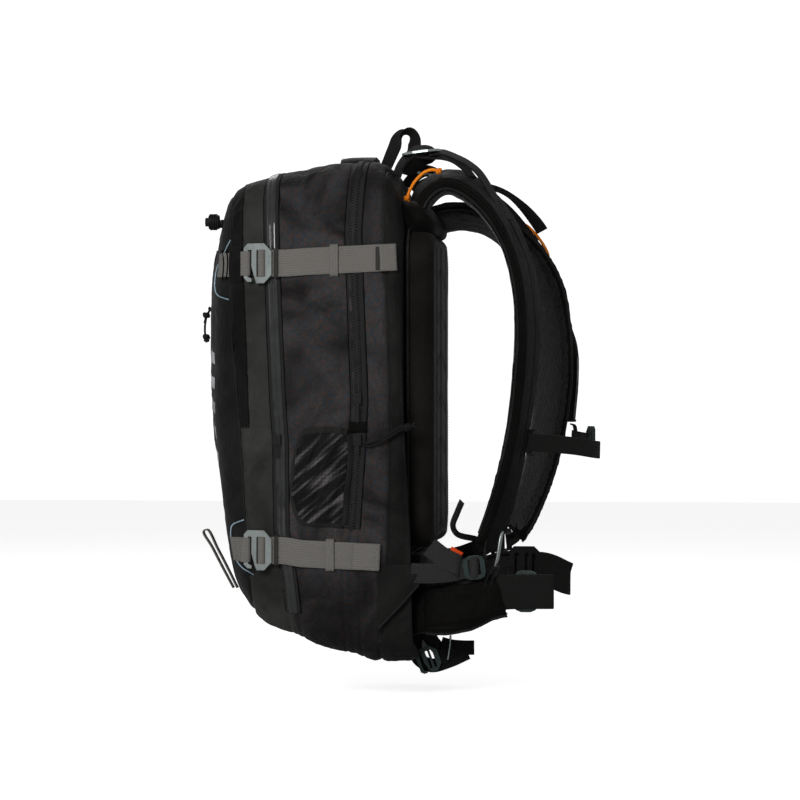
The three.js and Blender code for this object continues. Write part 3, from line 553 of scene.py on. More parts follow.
def webbing(name, points, width, thickness, hint, material, body=None, slot=None, tilt=0.0, spacing=2.5):
    route = curve_through(points, spacing)
    across, outward = frames(route, hint, tilt)
    return sweep(name, route, strip_section(width, thickness), across, outward, material, body, slot)


def cord_mesh(name, route, radius, material, body, slot="black_cord"):
    across, outward = frames(route, X + 0.01 * Z)
    return sweep(name, route, round_section(radius), across, outward, material, body, slot)


STITCH_RADIUS = 0.32
STITCH_SINK = 0.25  # how far a stitch's ends go into the cloth


def stitches(name, route, outward, body, material=THREAD, pitch=3.2, length=2.2):
    """A row of separate stitches lying on a surface."""
    spans = np.linalg.norm(np.diff(route, axis=0), axis=1).sum()
    count = max(2, int(spans / pitch))
    both = resample(np.hstack([route, outward]), count * 4)
    points, faces = [], []
    for k in range(count):
        here, there = both[4 * k], both[min(4 * k + 2, len(both) - 1)]
        at, normal = (here[:3] + there[:3]) / 2, unit(here[3:])
        along = unit(there[:3] - here[:3])
        side = np.cross(normal, along)
        base = len(points)
        points.append(at - along * length / 2 - normal * STITCH_SINK)
        ring = [(side, 1), (normal, 1), (side, -1), (normal, -0.6)]
        points += [at + direction * sign * STITCH_RADIUS for direction, sign in ring]
        points.append(at + along * length / 2 - normal * STITCH_SINK)
        for i in range(4):
            j = (i + 1) % 4
            faces.append((base, base + 1 + j, base + 1 + i))
            faces.append((base + 5, base + 1 + i, base + 1 + j))
    return mesh(name, points, faces, material, body)


def on_side(side, points):
    """Points of the right side, as they are or mirrored to the left."""
    return np.asarray(points, float) * (SIDES[side], 1, 1)


def bar_tack(name, route, across, outward, k, half, count, lift, body):
    """A short row of stitches across a strip at station k."""
    row = route[k] + across[k] * np.linspace(-half, half, count)[:, None] + outward[k] * lift
    stitches(name, row, np.tile(outward[k], (count, 1)), body, GREY_THREAD, 2.2, 2.0)


def table(rows):
    """A function of height from rows of (z, value)."""
    z, value = np.array(sorted(rows), float).T
    return lambda height: np.interp(height, z, value)


def groove(distance, width):
    return np.exp(-((distance / width) ** 2))


# ---------------------------------------------------------------- fabric body

# Sections from the front apex to the back rim: y, top z, bottom z, half width.
SECTIONS = np.array([
    [-260, 106, 64, 20],
    [-256, 153, -32, 66],
    [-250, 181, -74, 84],
    [-245, 204, -112, 95],
    [-237, 228, -163, 105],
    [-227, 238, -208, 113],
    [-213, 244, -230, 122],
    [-197, 249, -248, 129],
    [-183, 253, -255, 134],
    [-172, 255, -259, 137],
    [-150, 256, -267, 141],
    [-130, 260, -273, 144],
    [-110, 264, -279, 145],
    [-75, 266, -289, 144],
    [-55, 261, -293, 142],
    [-43, 238, -293, 140.5],
    [-36, 208, -290, 138],
], float)
BACK_WALL_Y = -33.4
CLOTH_THICKNESS = 1.2
RING_COUNT = 200
RING_POINTS = 560

# Where the seams and zips lie on the sides: rows of (z, y).
PANEL_SEAM = table([(240, -231), (172, -227), (69, -226), (16, -220), (-31, -216), (-136, -209),
                    (-200, -205)])
BAND_SEAM = table([(244, -215), (171, -212), (67, -208), (-31, -204), (-34, -204)])
MAIN_ZIP = table([(250, -181), (186, -178), (78, -174), (-8, -170), (-47, -167), (-144, -166), (-199, -157),
                  (-236, -154)])
AIRBAG_ZIP = table([(262, -82), (185, -86), (79, -82), (0, -79), (-43, -81), (-150, -88)])
REAR_SEAM = table([(262, -52), (216, -54), (110, -50), (15, -47), (-92, -47), (-210, -51), (-280, -60)])
RIM_SHIFT = table([(150, 0), (60, 2), (-50, 7), (-155, 13), (-300, 15)])
BAND_END = -31
UPPER_STRAP_Z, LOWER_STRAP_Z = 151, -166
POCKET = {"top": -36, "bottom": -137}
POCKET_FRONT = table([(-36, -141), (-55, -149), (-105, -155), (-137, -143)])


def smooth_table(rows, count):
    """The rows of a table, eased between by a Catmull-Rom curve and evenly spaced."""
    scaled = rows * np.array([1, 0.16, 0.16, 0.3])
    p = np.vstack([2 * scaled[0] - scaled[1], scaled, 2 * scaled[-1] - scaled[-2]])
    dense = []
    for i in range(1, len(p) - 2):
        t = np.linspace(0, 1, 30, endpoint=i == len(p) - 3)[:, None]
        a, b, c, d = p[i - 1 : i + 3]
        square = 2 * a - 5 * b + 4 * c - d
        cube = 3 * b - a - 3 * c + d
        dense.append(0.5 * (2 * b + (c - a) * t + square * t**2 + cube * t**3))
    return resample(np.vstack(dense), count) / np.array([1, 0.16, 0.16, 0.3])


def body_ring(y, top, bottom, half, power):
    """A superellipse from the bottom's middle up the right side, with even steps."""
    angle = np.linspace(-np.pi / 2, 1.5 * np.pi, 1600)
    squared = lambda v: np.sign(v) * np.abs(v) ** (2 / power)
    x = half * squared(np.cos(angle))
    z = (top + bottom) / 2 + (top - bottom) / 2 * squared(np.sin(angle))
    even = resample(np.stack([x, z], 1), RING_POINTS + 1)[:-1]
    return np.stack([even[:, 0], np.full(RING_POINTS, y), even[:, 1]], 1)


def grid_normals(grid):
    along = np.gradient(grid, axis=0)
    closed = np.concatenate([grid[:, -1:], grid, grid[:, :1]], 1)
    round_ring = (closed[:, 2:] - closed[:, :-2]) / 2
    return unit(np.cross(along, round_ring))


def rumple(points, scale, seed):
    """Ridged noise in 0 to 1 at a scale in millimetres."""
    out = np.empty(len(points))
    for i, p in enumerate(points / scale):
        out[i] = 1 - abs(noise.noise((p[0] + seed, p[1], p[2])))
    return out


def swell(y, front, back):
    """1 in the middle between two seams, 0 at and beyond them."""
    t = np.clip((y - front) / (back - front), 0, 1)
    return np.sin(np.pi * t) ** 0.7


def fold(y, z, start, end, width, depth):
    """A soft crease between two points on the side."""
    a, b = np.array(start, float), np.array(end, float)
    d = b - a
    t = ((y - a[0]) * d[0] + (z - a[1]) * d[1]) / (d @ d)
    away = np.hypot(y - a[0] - t * d[0], z - a[1] - t * d[1])
    ends = np.clip(np.minimum(t, 1 - t) * 4 + 0.6, 0, 1)
    return -depth * groove(away, width) * np.where((t > -0.15) & (t < 1.15), ends, 0)


SIDE_FOLDS = [
    ((-172, 226), (-132, 200), 6, 4.2),
    ((-132, 200), (-96, 218), 6, 3.6),
    ((-140, 236), (-118, 232), 14, 3.5),
    ((-160, 120), (-98, 96), 5, 1.6),
    ((-150, 60), (-92, 92), 5, 1.6),
    ((-158, -4), (-96, 34), 6, 1.8),
    ((-150, -30), (-100, -10), 4, 1.5),
    ((-140, -206), (-98, -262), 8, 3.6),
    ((-118, -196), (-88, -250), 6, 2.6),
    ((-92, -210), (-66, -262), 7, 2.6),
    ((-146, -220), (-122, -250), 7, 2.2),
    ((-74, 40), (-56, -10), 4, 1.8),
    ((-72, -70), (-56, -120), 4, 1.7),
    ((-72, 120), (-58, 96), 4, 1.5),
    ((-204, -70), (-176, -52), 4, 1.5),
    ((-202, -100), (-180, -128), 5, 1.7),
    ((-205, -158), (-176, -200), 6, 2.2),
]


def body_relief(grid, normals):
    """How far the cloth stands off its plain section: panels swell, seams sink, cloth creases."""
    _, y, z = grid.reshape(-1, 3).T
    side = np.clip(np.abs(normals.reshape(-1, 3)[:, 0]) * 1.6 - 0.3, 0, 1)
    panel, band, main, airbag, rear = (s(z) for s in (PANEL_SEAM, BAND_SEAM, MAIN_ZIP, AIRBAG_ZIP, REAR_SEAM))
    relief = 1.6 * swell(y, panel, main)
    relief += 3.2 * swell(y, main, airbag) + 2.2 * swell(y, airbag, rear) + 1.2 * swell(y, rear, rear + 20)
    for seam, width, depth in [(panel, 1.4, 1.6), (rear, 1.5, 1.8)]:
        relief -= depth * groove(y - seam, width)
    for zip_line, half in [(main, 6.5), (airbag, 9)]:
        relief -= 1.2 * (groove(y - zip_line - half, 1.8) + groove(y - zip_line + half, 1.8))
    # The gusset's short pleats, and the stitch lines across it.
    pleat = np.abs((z + 9) % 27 - 13.5)
    in_gusset = (y > band) & (y < main - 5)
    relief -= 0.9 * groove(pleat, 1.6) * in_gusset * side * swell(y, band, main)
    relief -= 1.0 * groove(z - BAND_END, 1.3) * ((y > panel) & (y < main - 6)) * side
    # The pocket's edge and the seam below it.
    front = POCKET_FRONT(z)
    inside = (z < POCKET["top"]) & (z > POCKET["bottom"])
    relief -= 1.1 * groove(y - front + 2, 1.4) * inside * side
    for level in POCKET["top"] + 2, POCKET["bottom"] - 4:
        relief -= 1.1 * groove(z - level, 1.3) * ((y > front - 4) & (y < rear)) * side
    bottom_seam = -232 + 12 * np.sin((y + 160) / 22)
    relief -= 1.3 * groove(z - bottom_seam, 1.5) * ((y > main + 4) & (y < rear)) * side
    for start, end, width, depth in SIDE_FOLDS:
        relief += fold(y, z, start, end, width, depth) * side
    points = grid.reshape(-1, 3)
    away = np.minimum(np.abs(y - main), np.abs(y - airbag))
    calm = np.clip((away - 8) / 14, 0.15, 1) * np.where(y < panel, 0.35, 1)
    relief += (rumple(points * (1, 1, 0.6), 46, 3.7) - 0.8) * 3.4 * calm
    relief += (rumple(points, 17, 11.2) - 0.8) * 2.4 * calm
    relief += (rumple(points, 8, 4.1) - 0.8) * 0.9 * calm
    return relief.reshape(grid.shape[:2])


def build_body():
    """The fabric body as a grid of rings, and the directions that its points face."""
    rings = smooth_table(SECTIONS, RING_COUNT)
    power = np.interp(rings[:, 0], [-260, -240, -213, -36], [3.0, 4.0, 5.5, 7.0])
    grid = np.stack([body_ring(*ring, p) for ring, p in zip(rings, power)])
    toward_back = np.clip((grid[..., 1] + 75) / 39, 0, 1)
    grid[..., 1] += toward_back * RIM_SHIFT(grid[..., 2])
    normals = grid_normals(grid)
    ring = np.arange(RING_COUNT)
    fade = np.clip((ring - 2) / 8, 0, 1) * np.clip((RING_COUNT - 1 - ring) / 5, 0, 1)
    grid = grid + normals * (body_relief(grid, normals) * fade[:, None])[..., None]
    return grid, grid_normals(grid)


BODY, BODY_NORMALS = build_body()


def seam_path(line, low, offset=0.0):
    """Points and normals on the body along y = line(z) + offset, from low on the right side, over
    the top and down to low on the left."""
    points, normals = [], []
    for c in range(RING_POINTS):
        column = BODY[:, c]
        gap = column[:, 1] - line(column[:, 2]) - offset
        crossing = np.flatnonzero((gap[:-1] < 0) & (gap[1:] >= 0))
        if not len(crossing):
            continue
        i = crossing[-1]
        t = gap[i] / (gap[i] - gap[i + 1])
        point = column[i] * (1 - t) + column[i + 1] * t
        if point[2] < low:
            continue
        points.append(point)
        normals.append(BODY_NORMALS[i, c] * (1 - t) + BODY_NORMALS[i + 1, c] * t)
    return np.array(points), unit(np.array(normals))


def build_shells():
    """Three shells split along the seams, and the back wall that closes the last."""
    columns = BODY.shape[1]
    rim = BODY[-1]
    middle = rim.mean(0)
    closing = []
    for step in (0.94, 0.85, 0.6, 0.3, 0.02):
        ring = middle + (rim - middle) * step
        toward_wall = rim[:, 1] * 0.3 + BACK_WALL_Y * 0.7
        ring[:, 1] = np.maximum(toward_wall, BACK_WALL_Y) if step > 0.9 else BACK_WALL_Y
        closing.append(ring)
    front = BODY[0]
    apex = front.mean(0)
    opening = [apex + (front - apex) * step - (0, 0.6 * (1 - step), 0) for step in (0.02, 0.5)]
    whole = np.concatenate([np.stack(opening), BODY, np.stack(closing)])
    points = whole.reshape(-1, 3)
    faces = np.array(grid_faces(len(whole), columns))
    centres = points[faces].mean(1)
    y, z = centres[:, 1], centres[:, 2]
    in_front = y < PANEL_SEAM(z)
    in_pocket = ~in_front & (y < MAIN_ZIP(z))
    in_band = in_pocket & (y < BAND_SEAM(z)) & (z > BAND_END)
    behind = y > REAR_SEAM(z)
    layout = [
        ("front_panel_cloth", in_front, PANEL, "panel_fabric", "front_panel"),
        ("front_pocket_cloth", in_pocket, GUSSET, "pack_fabric", "front_pocket"),
        ("main_compartment_cloth", ~in_front & ~in_pocket, FABRIC, "pack_fabric", "main_compartment"),
    ]
    for name, chosen, material, slot, node in layout:
        used, corners = np.unique(faces[chosen], return_inverse=True)
        piece = mesh(name, points[used], corners.reshape(-1, 4), material, "pack", slot=slot)
        if name == "front_pocket_cloth":
            piece.data.materials.append(BAND)
            piece.data.polygons.foreach_set("material_index", in_band[chosen].astype(np.int32))
        if name == "main_compartment_cloth":
            piece.data.materials.append(REAR_BAND)
            piece.data.polygons.foreach_set("material_index", behind[chosen].astype(np.int32))
        thicken = piece.modifiers.new("cloth", "SOLIDIFY")
        thicken.thickness = CLOTH_THICKNESS * MM
        thicken.offset = -1
        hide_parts(node)


build_shells()

# ---------------------------------------------------------------- places on the body


class Skin:
    """Finds points of the body's surface from two of their coordinates."""

    def __init__(self, keep, axes):
        self.axes = axes
        self.points = BODY.reshape(-1, 3)[keep]
        self.normals = BODY_NORMALS.reshape(-1, 3)[keep]
        self.tree = kdtree.KDTree(len(self.points))
        for i, (a, b) in enumerate(self.points[:, axes]):
            self.tree.insert((a, b, 0), i)
        self.tree.balance()

    def at(self, a, b, lift=0.0):
        found = self.tree.find_n((a, b, 0), 8)
        index = [i for _, i, _ in found]
        weight = np.array([1 / (distance**2 + 0.6) for _, _, distance in found])
        point = weight @ self.points[index] / weight.sum()
        point[self.axes] = (a, b)
        normal = unit(weight @ self.normals[index])
        return point + normal * lift, normal

    def path(self, pairs, lift=0.0, spacing=2.5):
        """A route over the surface through pairs of coordinates, with its outward directions."""
        flat = curve_through([(a, b, 0) for a, b in pairs], spacing)
        found = [self.at(a, b, lift) for a, b, _ in flat]
        return np.array([p for p, _ in found]), np.array([n for _, n in found])


def skin_masks():
    points, normals = BODY.reshape(-1, 3), BODY_NORMALS.reshape(-1, 3)
    right = (points[:, 0] > 0) & (normals[:, 0] > 0.12)
    left = (points[:, 0] < 0) & (normals[:, 0] < -0.12)
    front = (points[:, 1] < -150) & (normals[:, 1] < -0.15)
    return right, left, front


RIGHT_MASK, LEFT_MASK, FRONT_MASK = skin_masks()
SKINS = {"right": Skin(RIGHT_MASK, [1, 2]), "left": Skin(LEFT_MASK, [1, 2])}
FRONT_SKIN = Skin(FRONT_MASK, [0, 2])


def smoothed(values, passes=3):
    """Evens the rows of an array, and leaves its ends in place."""
    for _ in range(passes):
        middle = (values[:-2] + 2 * values[1:-1] + values[2:]) / 4
        values = np.concatenate([values[:1], middle, values[-1:]])
    return values


SEAM_SPACING = 2.5


def seam_route(line, low, offset=0.0, lift=0.0):
    """A smooth route along a seam, with its across and outward directions."""
    points, normals = seam_path(line, low, offset)
    length = np.linalg.norm(np.diff(points, axis=0), axis=1).sum()
    both = resample(np.hstack([points, normals * 4]), int(length / SEAM_SPACING))
    both = smoothed(both, 6)
    route, outward = both[:, :3], unit(both[:, 3:])
    across, outward = square_up(route, outward)
    return route + outward * lift, across, outward


def square_up(route, outward):
    tangent = unit(np.gradient(route, axis=0))
    across = unit(np.cross(tangent, outward))
    return across, np.cross(across, tangent)


def on_skin(name, route, outward, section, material, body="pack", slot=None):
    across, outward = square_up(route, outward)
    return sweep(name, route, section, across, outward, material, body, slot)


def stitched_strip(name, route, across, outward, width, body, inset=1.6, height=0.0):
    """Two rows of stitches along a strip's edges."""
    for label, side in EDGES:
        row = route + across * side * (width / 2 - inset) + outward * height
        stitches(f"{name}_stitches_{label}", row, outward, body)


def patch(name, skin, a, b, lift, thickness, material, slot=None):
    """A closed sheet over the surface from grids of its two coordinates."""
    a, b = np.broadcast_arrays(a, b)
    lift = np.broadcast_to(lift, a.shape)
    found = [skin.at(u, v) for u, v in zip(a.ravel(), b.ravel())]
    base = np.array([p for p, _ in found])
    normal = np.array([n for _, n in found])
    outer = base + normal * lift.reshape(-1, 1)
    shape = (*a.shape, 3)
    return sheet_mesh(name, outer.reshape(shape), normal.reshape(shape), thickness, material, "pack", slot)


def sheet_mesh(name, grid, normals, thickness, material, body, slot=None):
    """A closed sheet from a grid of outer points and the directions that they face."""
    rows, columns = grid.shape[:2]
    outer = grid.reshape(-1, 3)
    inner = outer - normals.reshape(-1, 3) * thickness
    faces = grid_faces(rows, columns, wrap=False)
    count = rows * columns
    back = [tuple(count + i for i in face[::-1]) for face in faces]
    rim = [r * columns for r in range(rows)] + [(rows - 1) * columns + c for c in range(1, columns)]
    rim += [r * columns + columns - 1 for r in range(rows - 2, -1, -1)] + list(range(columns - 2, 0, -1))
    edge = [(a, b, count + b, count + a) for a, b in zip(rim, rim[1:] + rim[:1])]
    along = np.arange(rows)[:, None] * np.linalg.norm(grid[1, 0] - grid[0, 0])
    sideways = np.arange(columns)[None] * np.linalg.norm(grid[0, 1] - grid[0, 0])
    uv = np.stack(np.broadcast_arrays(sideways, along), -1).reshape(-1, 2)
    points = np.vstack([outer, inner])
    return mesh(name, points, faces + back + edge, material, body, np.vstack([uv, uv]), slot)


STUD_TOP = 0.7  # how much of its foot a stud's top keeps


def studs(name, route, across, outward, size, offset, material, body):
    """One small tapered block at each station: size is along, across and height."""
    along = np.cross(across, outward)
    length, width, height = (np.array(size) / 2).tolist()
    levels = ((-1, 1), (0.3, 1), (1, STUD_TOP))
    corners = ((-1, -1), (1, -1), (1, 1), (-1, 1))
    shape = [(sl * k, sw * k, sh) for sh, k in levels for sl, sw in corners]
    points, faces = [], []
    for i in range(len(route)):
        base = len(points)
        centre = route[i] + across[i] * offset
        for u, v, w in shape:
            points.append(centre + along[i] * u * length + across[i] * v * width + outward[i] * (w * height))
        for ring in (0, 4):
            for k in range(4):
                a, b = base + ring + k, base + ring + (k + 1) % 4
                faces.append((a, b, b + 4, a + 4))
        faces.append((base + 3, base + 2, base + 1, base))
        faces.append((base + 8, base + 9, base + 10, base + 11))
    return mesh(name, points, faces, material, body, smooth=False)


def knot(name, centre, axis, size, radius, material, body, slot):
    """A small tied knot: a trefoil tube about an axis."""
    axis = unit(np.asarray(axis, float))
    side = unit(np.cross(axis, X + 0.2 * Y))
    third = np.cross(axis, side)
    t = np.linspace(0, 2 * np.pi, 60, endpoint=False)
    a = (np.sin(t) + 2 * np.sin(2 * t)) / 3
    b = (np.cos(t) - 2 * np.cos(2 * t)) / 3
    c = -np.sin(3 * t) * 0.6
    route = np.asarray(centre, float) + size * (a[:, None] * side + b[:, None] * third + c[:, None] * axis)
    tangent = unit(np.roll(route, -1, 0) - np.roll(route, 1, 0))
    out = unit(route - np.asarray(centre, float) + 0.01 * axis)
    across = unit(np.cross(tangent, out))
    out = np.cross(across, tangent)
    ring = round_section(radius, 8)
    points = route[:, None] + across[:, None] * ring[None, :, :1] + out[:, None] * ring[None, :, 1:]
    faces = grid_faces(len(route), 8)
    last = (len(route) - 1) * 8
    faces += [(last + k, last + (k + 1) % 8, (k + 1) % 8, k) for k in range(8)]
    return mesh(name, points.reshape(-1, 3), faces, material, body, slot=slot)


# ---------------------------------------------------------------- cords


# The free cords, along the same routes as their CAD tubes: each one's body and its points.
CORDS = {
    "strap_cord_right": ("shoulder_strap_right", [
        (74, -33, 226), (73.5, -30.5, 234), (73, -23, 247), (73, -12, 256.5), (73, -4, 258.5), (73, 3, 257),
    ]),
    "strap_cord_left": ("shoulder_strap_left", [
        (-92, 84, 207), (-93, 92, 206), (-94, 102, 197), (-95, 112, 184), (-95, 118, 172), (-95, 119, 164),
    ]),
    "side_pull_cord": ("side_zip_slider", [
        (149.5, -75.5, -46), (151, -66, -47), (151.5, -54, -42), (151.5, -42, -35), (151, -32, -29),
        (150, -25, -30),
    ]),
    "front_pull_cord": ("pack", [
        (40, -262, 104), (40, -266, 96), (40, -268, 86), (40, -268, 76), (40, -266, 68),
    ]),
}


def build_cords():
    """The free cords, each with the knots that are tied on it."""
    for name, (body, points) in CORDS.items():
        orange = name.startswith("strap")
        radius = 1.8 if orange else 1.3
        material, slot = (ORANGE_CORD, "orange_cord") if orange else (BLACK_CORD, "black_cord")
        route = curve_through(points, radius)
        piece = cord_mesh(name + "_braid", route, radius, material, body, slot)
        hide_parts(name)
        ends = [route[-1], route[0]] if name != "side_pull_cord" else [route[-1]]
        directions = [route[-1] - route[-4], route[0] - route[3]]
        tied = [
            knot(f"{name}_knot_{i}", end, direction, radius * 1.55, radius * 0.8, material, body, slot)
            for i, (end, direction) in enumerate(zip(ends, directions))
        ]


build_cords()


def build_side_pull_ends():
    """The second strand of the side zip's pull, and the tails past its knot."""
    strand = [(148.5, -75, -49), (149.5, -66, -50.5), (150, -54, -46), (150, -42, -38.5), (150, -32, -31.5),
              (150, -25, -30)]
    cord_mesh("side_pull_second_strand", curve_through(strand, 1.3), 1.3, BLACK_CORD, "side_zip_slider")
    for label, end in (("upper", (150, -17, -24)), ("lower", (150, -16, -30))):
        tail = [(150, -25, -30), (150.5, -21, -28.5), end]
        cord_mesh(f"side_pull_{label}_tail", curve_through(tail, 1.3), 1.3, BLACK_CORD, "side_zip_slider")
    knot("side_pull_knot", (150, -25.5, -30), Y, 3.0, 1.9, BLACK_CORD, "side_zip_slider", "black_cord")


build_side_pull_ends()

# ---------------------------------------------------------------- zips and seams

FILM_SECTION = [(-5.8, 0.2), (5.8, 0.2), (5.8, 0.7), (4.9, 1.3), (3.2, 1.75), (1.4, 1.8), (0.4, 1.5),
                (0, 0.8), (-0.4, 1.5), (-1.4, 1.8), (-3.2, 1.75), (-4.9, 1.3), (-5.8, 0.7)]
TOOTH_PITCH = 3.1
ZIP_WIDTH = 18
FRONT_ZIP_WIDTH = 17
ZIP_EDGE = 9.4  # from a zip's middle to the cloth's turned-in edge
ZIP_SECTION = strip_section(ZIP_WIDTH, 0.9)


def coarse_teeth(name, route, across, outward):
    length = np.linalg.norm(np.diff(route, axis=0), axis=1).sum()
    both = resample(np.hstack([route, across, outward]), int(2 * length / TOOTH_PITCH))
    for label, start, side in (("a", 0, -1), ("b", 1, 1)):
        row = both[start::2]
        place, sideways, up = row[:, :3], unit(row[:, 3:6]), unit(row[:, 6:])
        studs(f"{name}_{label}", place + up * 1.3, sideways, up, (2.0, 4.4, 1.9), side * 1.15, TOOTH, "pack")


def zip_edges(name, route, across, outward):
    """Thin near-black cords of painted shadow in the grooves along the cloth's turned-in edges on both sides
    of a zip.
    """
    for label, side in EDGES:
        edge = route + across * side * ZIP_EDGE - outward * 0.1
        sweep(f"{name}_edge_{label}", edge, round_section(0.8, 8), across, outward, PAINTED_SEAM_SHADOW, "pack",
              "pack_fabric")


def build_zips():
    """The main zip, the airbag's burst zip and the side zips."""
    route, across, outward = seam_route(MAIN_ZIP, -236, lift=0.5)
    tape = sweep("main_zip_weave", route, ZIP_SECTION, across, outward, ZIP_TAPE, "pack", "zip_tape")
    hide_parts("main_zip_tape")
    sweep("main_zip_film", route + outward * 0.4, FILM_SECTION, across, outward, ZIP_FILM, "pack",
          "coated_zip")
    stitched_strip("main_zip", route, across, outward, ZIP_WIDTH, "pack", inset=1.3, height=0.45)

    zip_edges("main_zip", route, across, outward)

    route, across, outward = seam_route(AIRBAG_ZIP, -25, lift=0.5)
    tape = sweep("airbag_zip_weave", route, ZIP_SECTION, across, outward, ZIP_TAPE, "pack", "zip_tape")
    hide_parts("airbag_zip_tape")
    coarse_teeth("airbag_zip_teeth", route, across, outward)
    zip_edges("airbag_zip", route, across, outward)
    stitched_strip("airbag_zip", route, across, outward, ZIP_WIDTH, "pack", inset=1.5, height=0.45)

    for side in SIDES:
        skin = SKINS[side]
        levels = [-30, -60, -100, -142]
        route, outward = skin.path([(AIRBAG_ZIP(z), z) for z in levels], lift=0.5)
        across, outward = square_up(route, outward)
        sweep(f"side_zip_weave_{side}", route, ZIP_SECTION, across, outward, ZIP_TAPE, "pack", "zip_tape")
        coarse_teeth(f"side_zip_teeth_{side}", route[5:], across[5:], outward[5:])
        zip_edges(f"side_zip_{side}", route, across, outward)
        patch(
            f"zip_end_patch_{side}", skin, np.linspace(-91, -70, 8)[:, None], np.linspace(-36, -24, 6)[None],
            1.8, 1.2, STRAP_CLOTH, slot="pack_fabric",
        )


def build_piping():
    """Rolled edges at the front panel's, the band's and the rear seam, and the stitches beside them."""
    for name, line, offset, low, radius, material in [
        ("panel_seam_piping", PANEL_SEAM, 0.0, -196, 1.2, BINDING),
        ("rear_seam_piping", REAR_SEAM, 0.0, -272, 1.3, BINDING),
        ("band_seam_piping", BAND_SEAM, 0.0, BAND_END, 0.9, STRAP_CLOTH),
    ]:
        route, across, outward = seam_route(line, low, offset, lift=0.1)
        sweep(name, route, round_section(radius, 8), across, outward, material, "pack", "pack_fabric")
    for name, line, offset, low in [
        ("panel_seam", PANEL_SEAM, 3.2, -196),
        ("band_seam", BAND_SEAM, -3.0, BAND_END),
        ("rear_seam", REAR_SEAM, -4.0, -262),
        ("edge_band", REAR_SEAM, 5.0, -262),
    ]:
        route, across, outward = seam_route(line, low, offset, lift=0.1)
        stitches(f"{name}_stitches", route, outward, "pack")


def build_side_seams():
    """Stitches on each side: under the pocket, at the band's end, over the bottom panel, at two pleats."""
    for side in SIDES:
        skin = SKINS[side]
        paths = {
            "pocket_foot": [(y, POCKET["bottom"] - 8) for y in (-144, -120, -100, -64)],
            "band_end": [(y, BAND_END - 5) for y in (-213, -200, -182)],
            "bottom_panel": [(y, -228 + 12 * math.sin((y + 160) / 22)) for y in range(-148, -60, 10)],
            "pleat_high": [(y, 180) for y in (-205, -196, -188)],
            "pleat_low": [(y, 18) for y in (-202, -192, -180)],
        }
        for label, pairs in paths.items():
            route, outward = skin.path(pairs, lift=0.2)
            stitches(f"{label}_stitches_{side}", route, outward, "pack")


build_zips()
build_piping()
build_side_seams()

# ---------------------------------------------------------------- mesh pockets

POCKET_BACK = table([(-36, -92), (-62, -91), (-100, -95), (-137, -98)])


def build_pockets():
    """The stretch mesh pockets with their hems, borders and facings."""
    s = np.linspace(0, 1, 44)[:, None]
    t = np.linspace(0, 1, 72)[None]
    z = POCKET["top"] + (POCKET["bottom"] - POCKET["top"]) * t
    y = POCKET_FRONT(z) * (1 - s) + POCKET_BACK(z) * s
    z = z + 3.5 * np.sin(np.pi * s) * (1 - t)
    bulge = np.sin(np.pi * s) ** 0.6 * np.clip(np.sin(np.pi * (0.12 + 0.88 * t)), 0, 1) ** 0.6
    # Folds that run from the upper back corner to the lower front one.
    slant = s * 1.3 + t * 0.9
    folds = 0.9 * np.sin(slant * 13) + 0.7 * np.sin(slant * 23 + 2 * s) + 0.5 * np.sin(slant * 41 + 5 * t)
    lift = 1.0 + bulge * (4.0 + folds)
    for side in SIDES:
        skin = SKINS[side]
        net = patch(f"mesh_pocket_{side}", skin, y, z, lift, 0.7, MESH, slot="pack_fabric")
        hem_y = POCKET_FRONT(-36) * (1 - s[:, 0]) + POCKET_BACK(-36) * s[:, 0]
        hem = [skin.at(hy, hz, hl + 0.2) for hy, hz, hl in zip(hem_y, z[:, 0], lift[:, 0])]
        route = np.array([p for p, _ in hem])
        outward = np.array([n for _, n in hem])
        binding = on_skin(f"pocket_hem_{side}", route, outward, strip_section(7, 1.8), BINDING,
                          slot="pack_fabric")
        stitches(f"pocket_hem_stitches_{side}", route + outward * 0.9, outward, "pack")
        border = [(POCKET_FRONT(v), v) for v in (-36, -60, -85, -110, -133)]
        border += [(-130, POCKET["bottom"]), (-112, POCKET["bottom"]), (POCKET_BACK(-137), POCKET["bottom"])]
        border += [(POCKET_BACK(v), v) for v in (-110, -85, -60, -38)]
        route, outward = skin.path(border, lift=0.9)
        on_skin(f"pocket_border_{side}", route, outward, strip_section(5, 1.2), BINDING, slot="pack_fabric")
        stitches(f"pocket_border_stitches_{side}", route + outward * 0.6, outward, "pack")
        # A smooth facing between the pocket and the side zip.
        back_y = POCKET_BACK(z[0])[None] + np.linspace(1, 6, 5)[:, None]
        patch(f"pocket_facing_{side}", skin, back_y, z[0][None], 0.9, 0.8, PANEL, slot="pack_fabric")


build_pockets()

# ---------------------------------------------------------------- ski carry straps

HOOK_Y = -192
HOOK_X = 140.3
HOOK_LEAN = math.radians(18)
HOOK_ALONG = np.array([math.sin(HOOK_LEAN), math.cos(HOOK_LEAN), 0])
HOOK_OUT = np.array([math.cos(HOOK_LEAN), -math.sin(HOOK_LEAN), 0])
SEWN_ENDS = {"upper": -38, "lower": -56}
RISES = {"upper": (0, 6), "lower": (-2, -7)}  # how much the strap climbs at the hook and at its sewn end


def hook_point(along, out, z):
    return np.array([HOOK_X, HOOK_Y, z]) + HOOK_ALONG * along + HOOK_OUT * out


def ski_strap_run(skin, z, sewn_end):
    """The strap over the side, stretched straight over the dips, from its sewn end forward."""
    stations = np.arange(sewn_end, -168.0, -3)
    heights = np.array([skin.at(y, z)[0][0] for y in stations])
    heights = np.abs(heights) + 1.7
    reach = 5
    padded = np.pad(heights, reach, mode="edge")
    heights = np.array([padded[i : i + 2 * reach + 1].max() for i in range(len(heights))])
    heights = smoothed(heights, 8)
    return np.stack([heights, stations, np.full(len(stations), z)], 1)


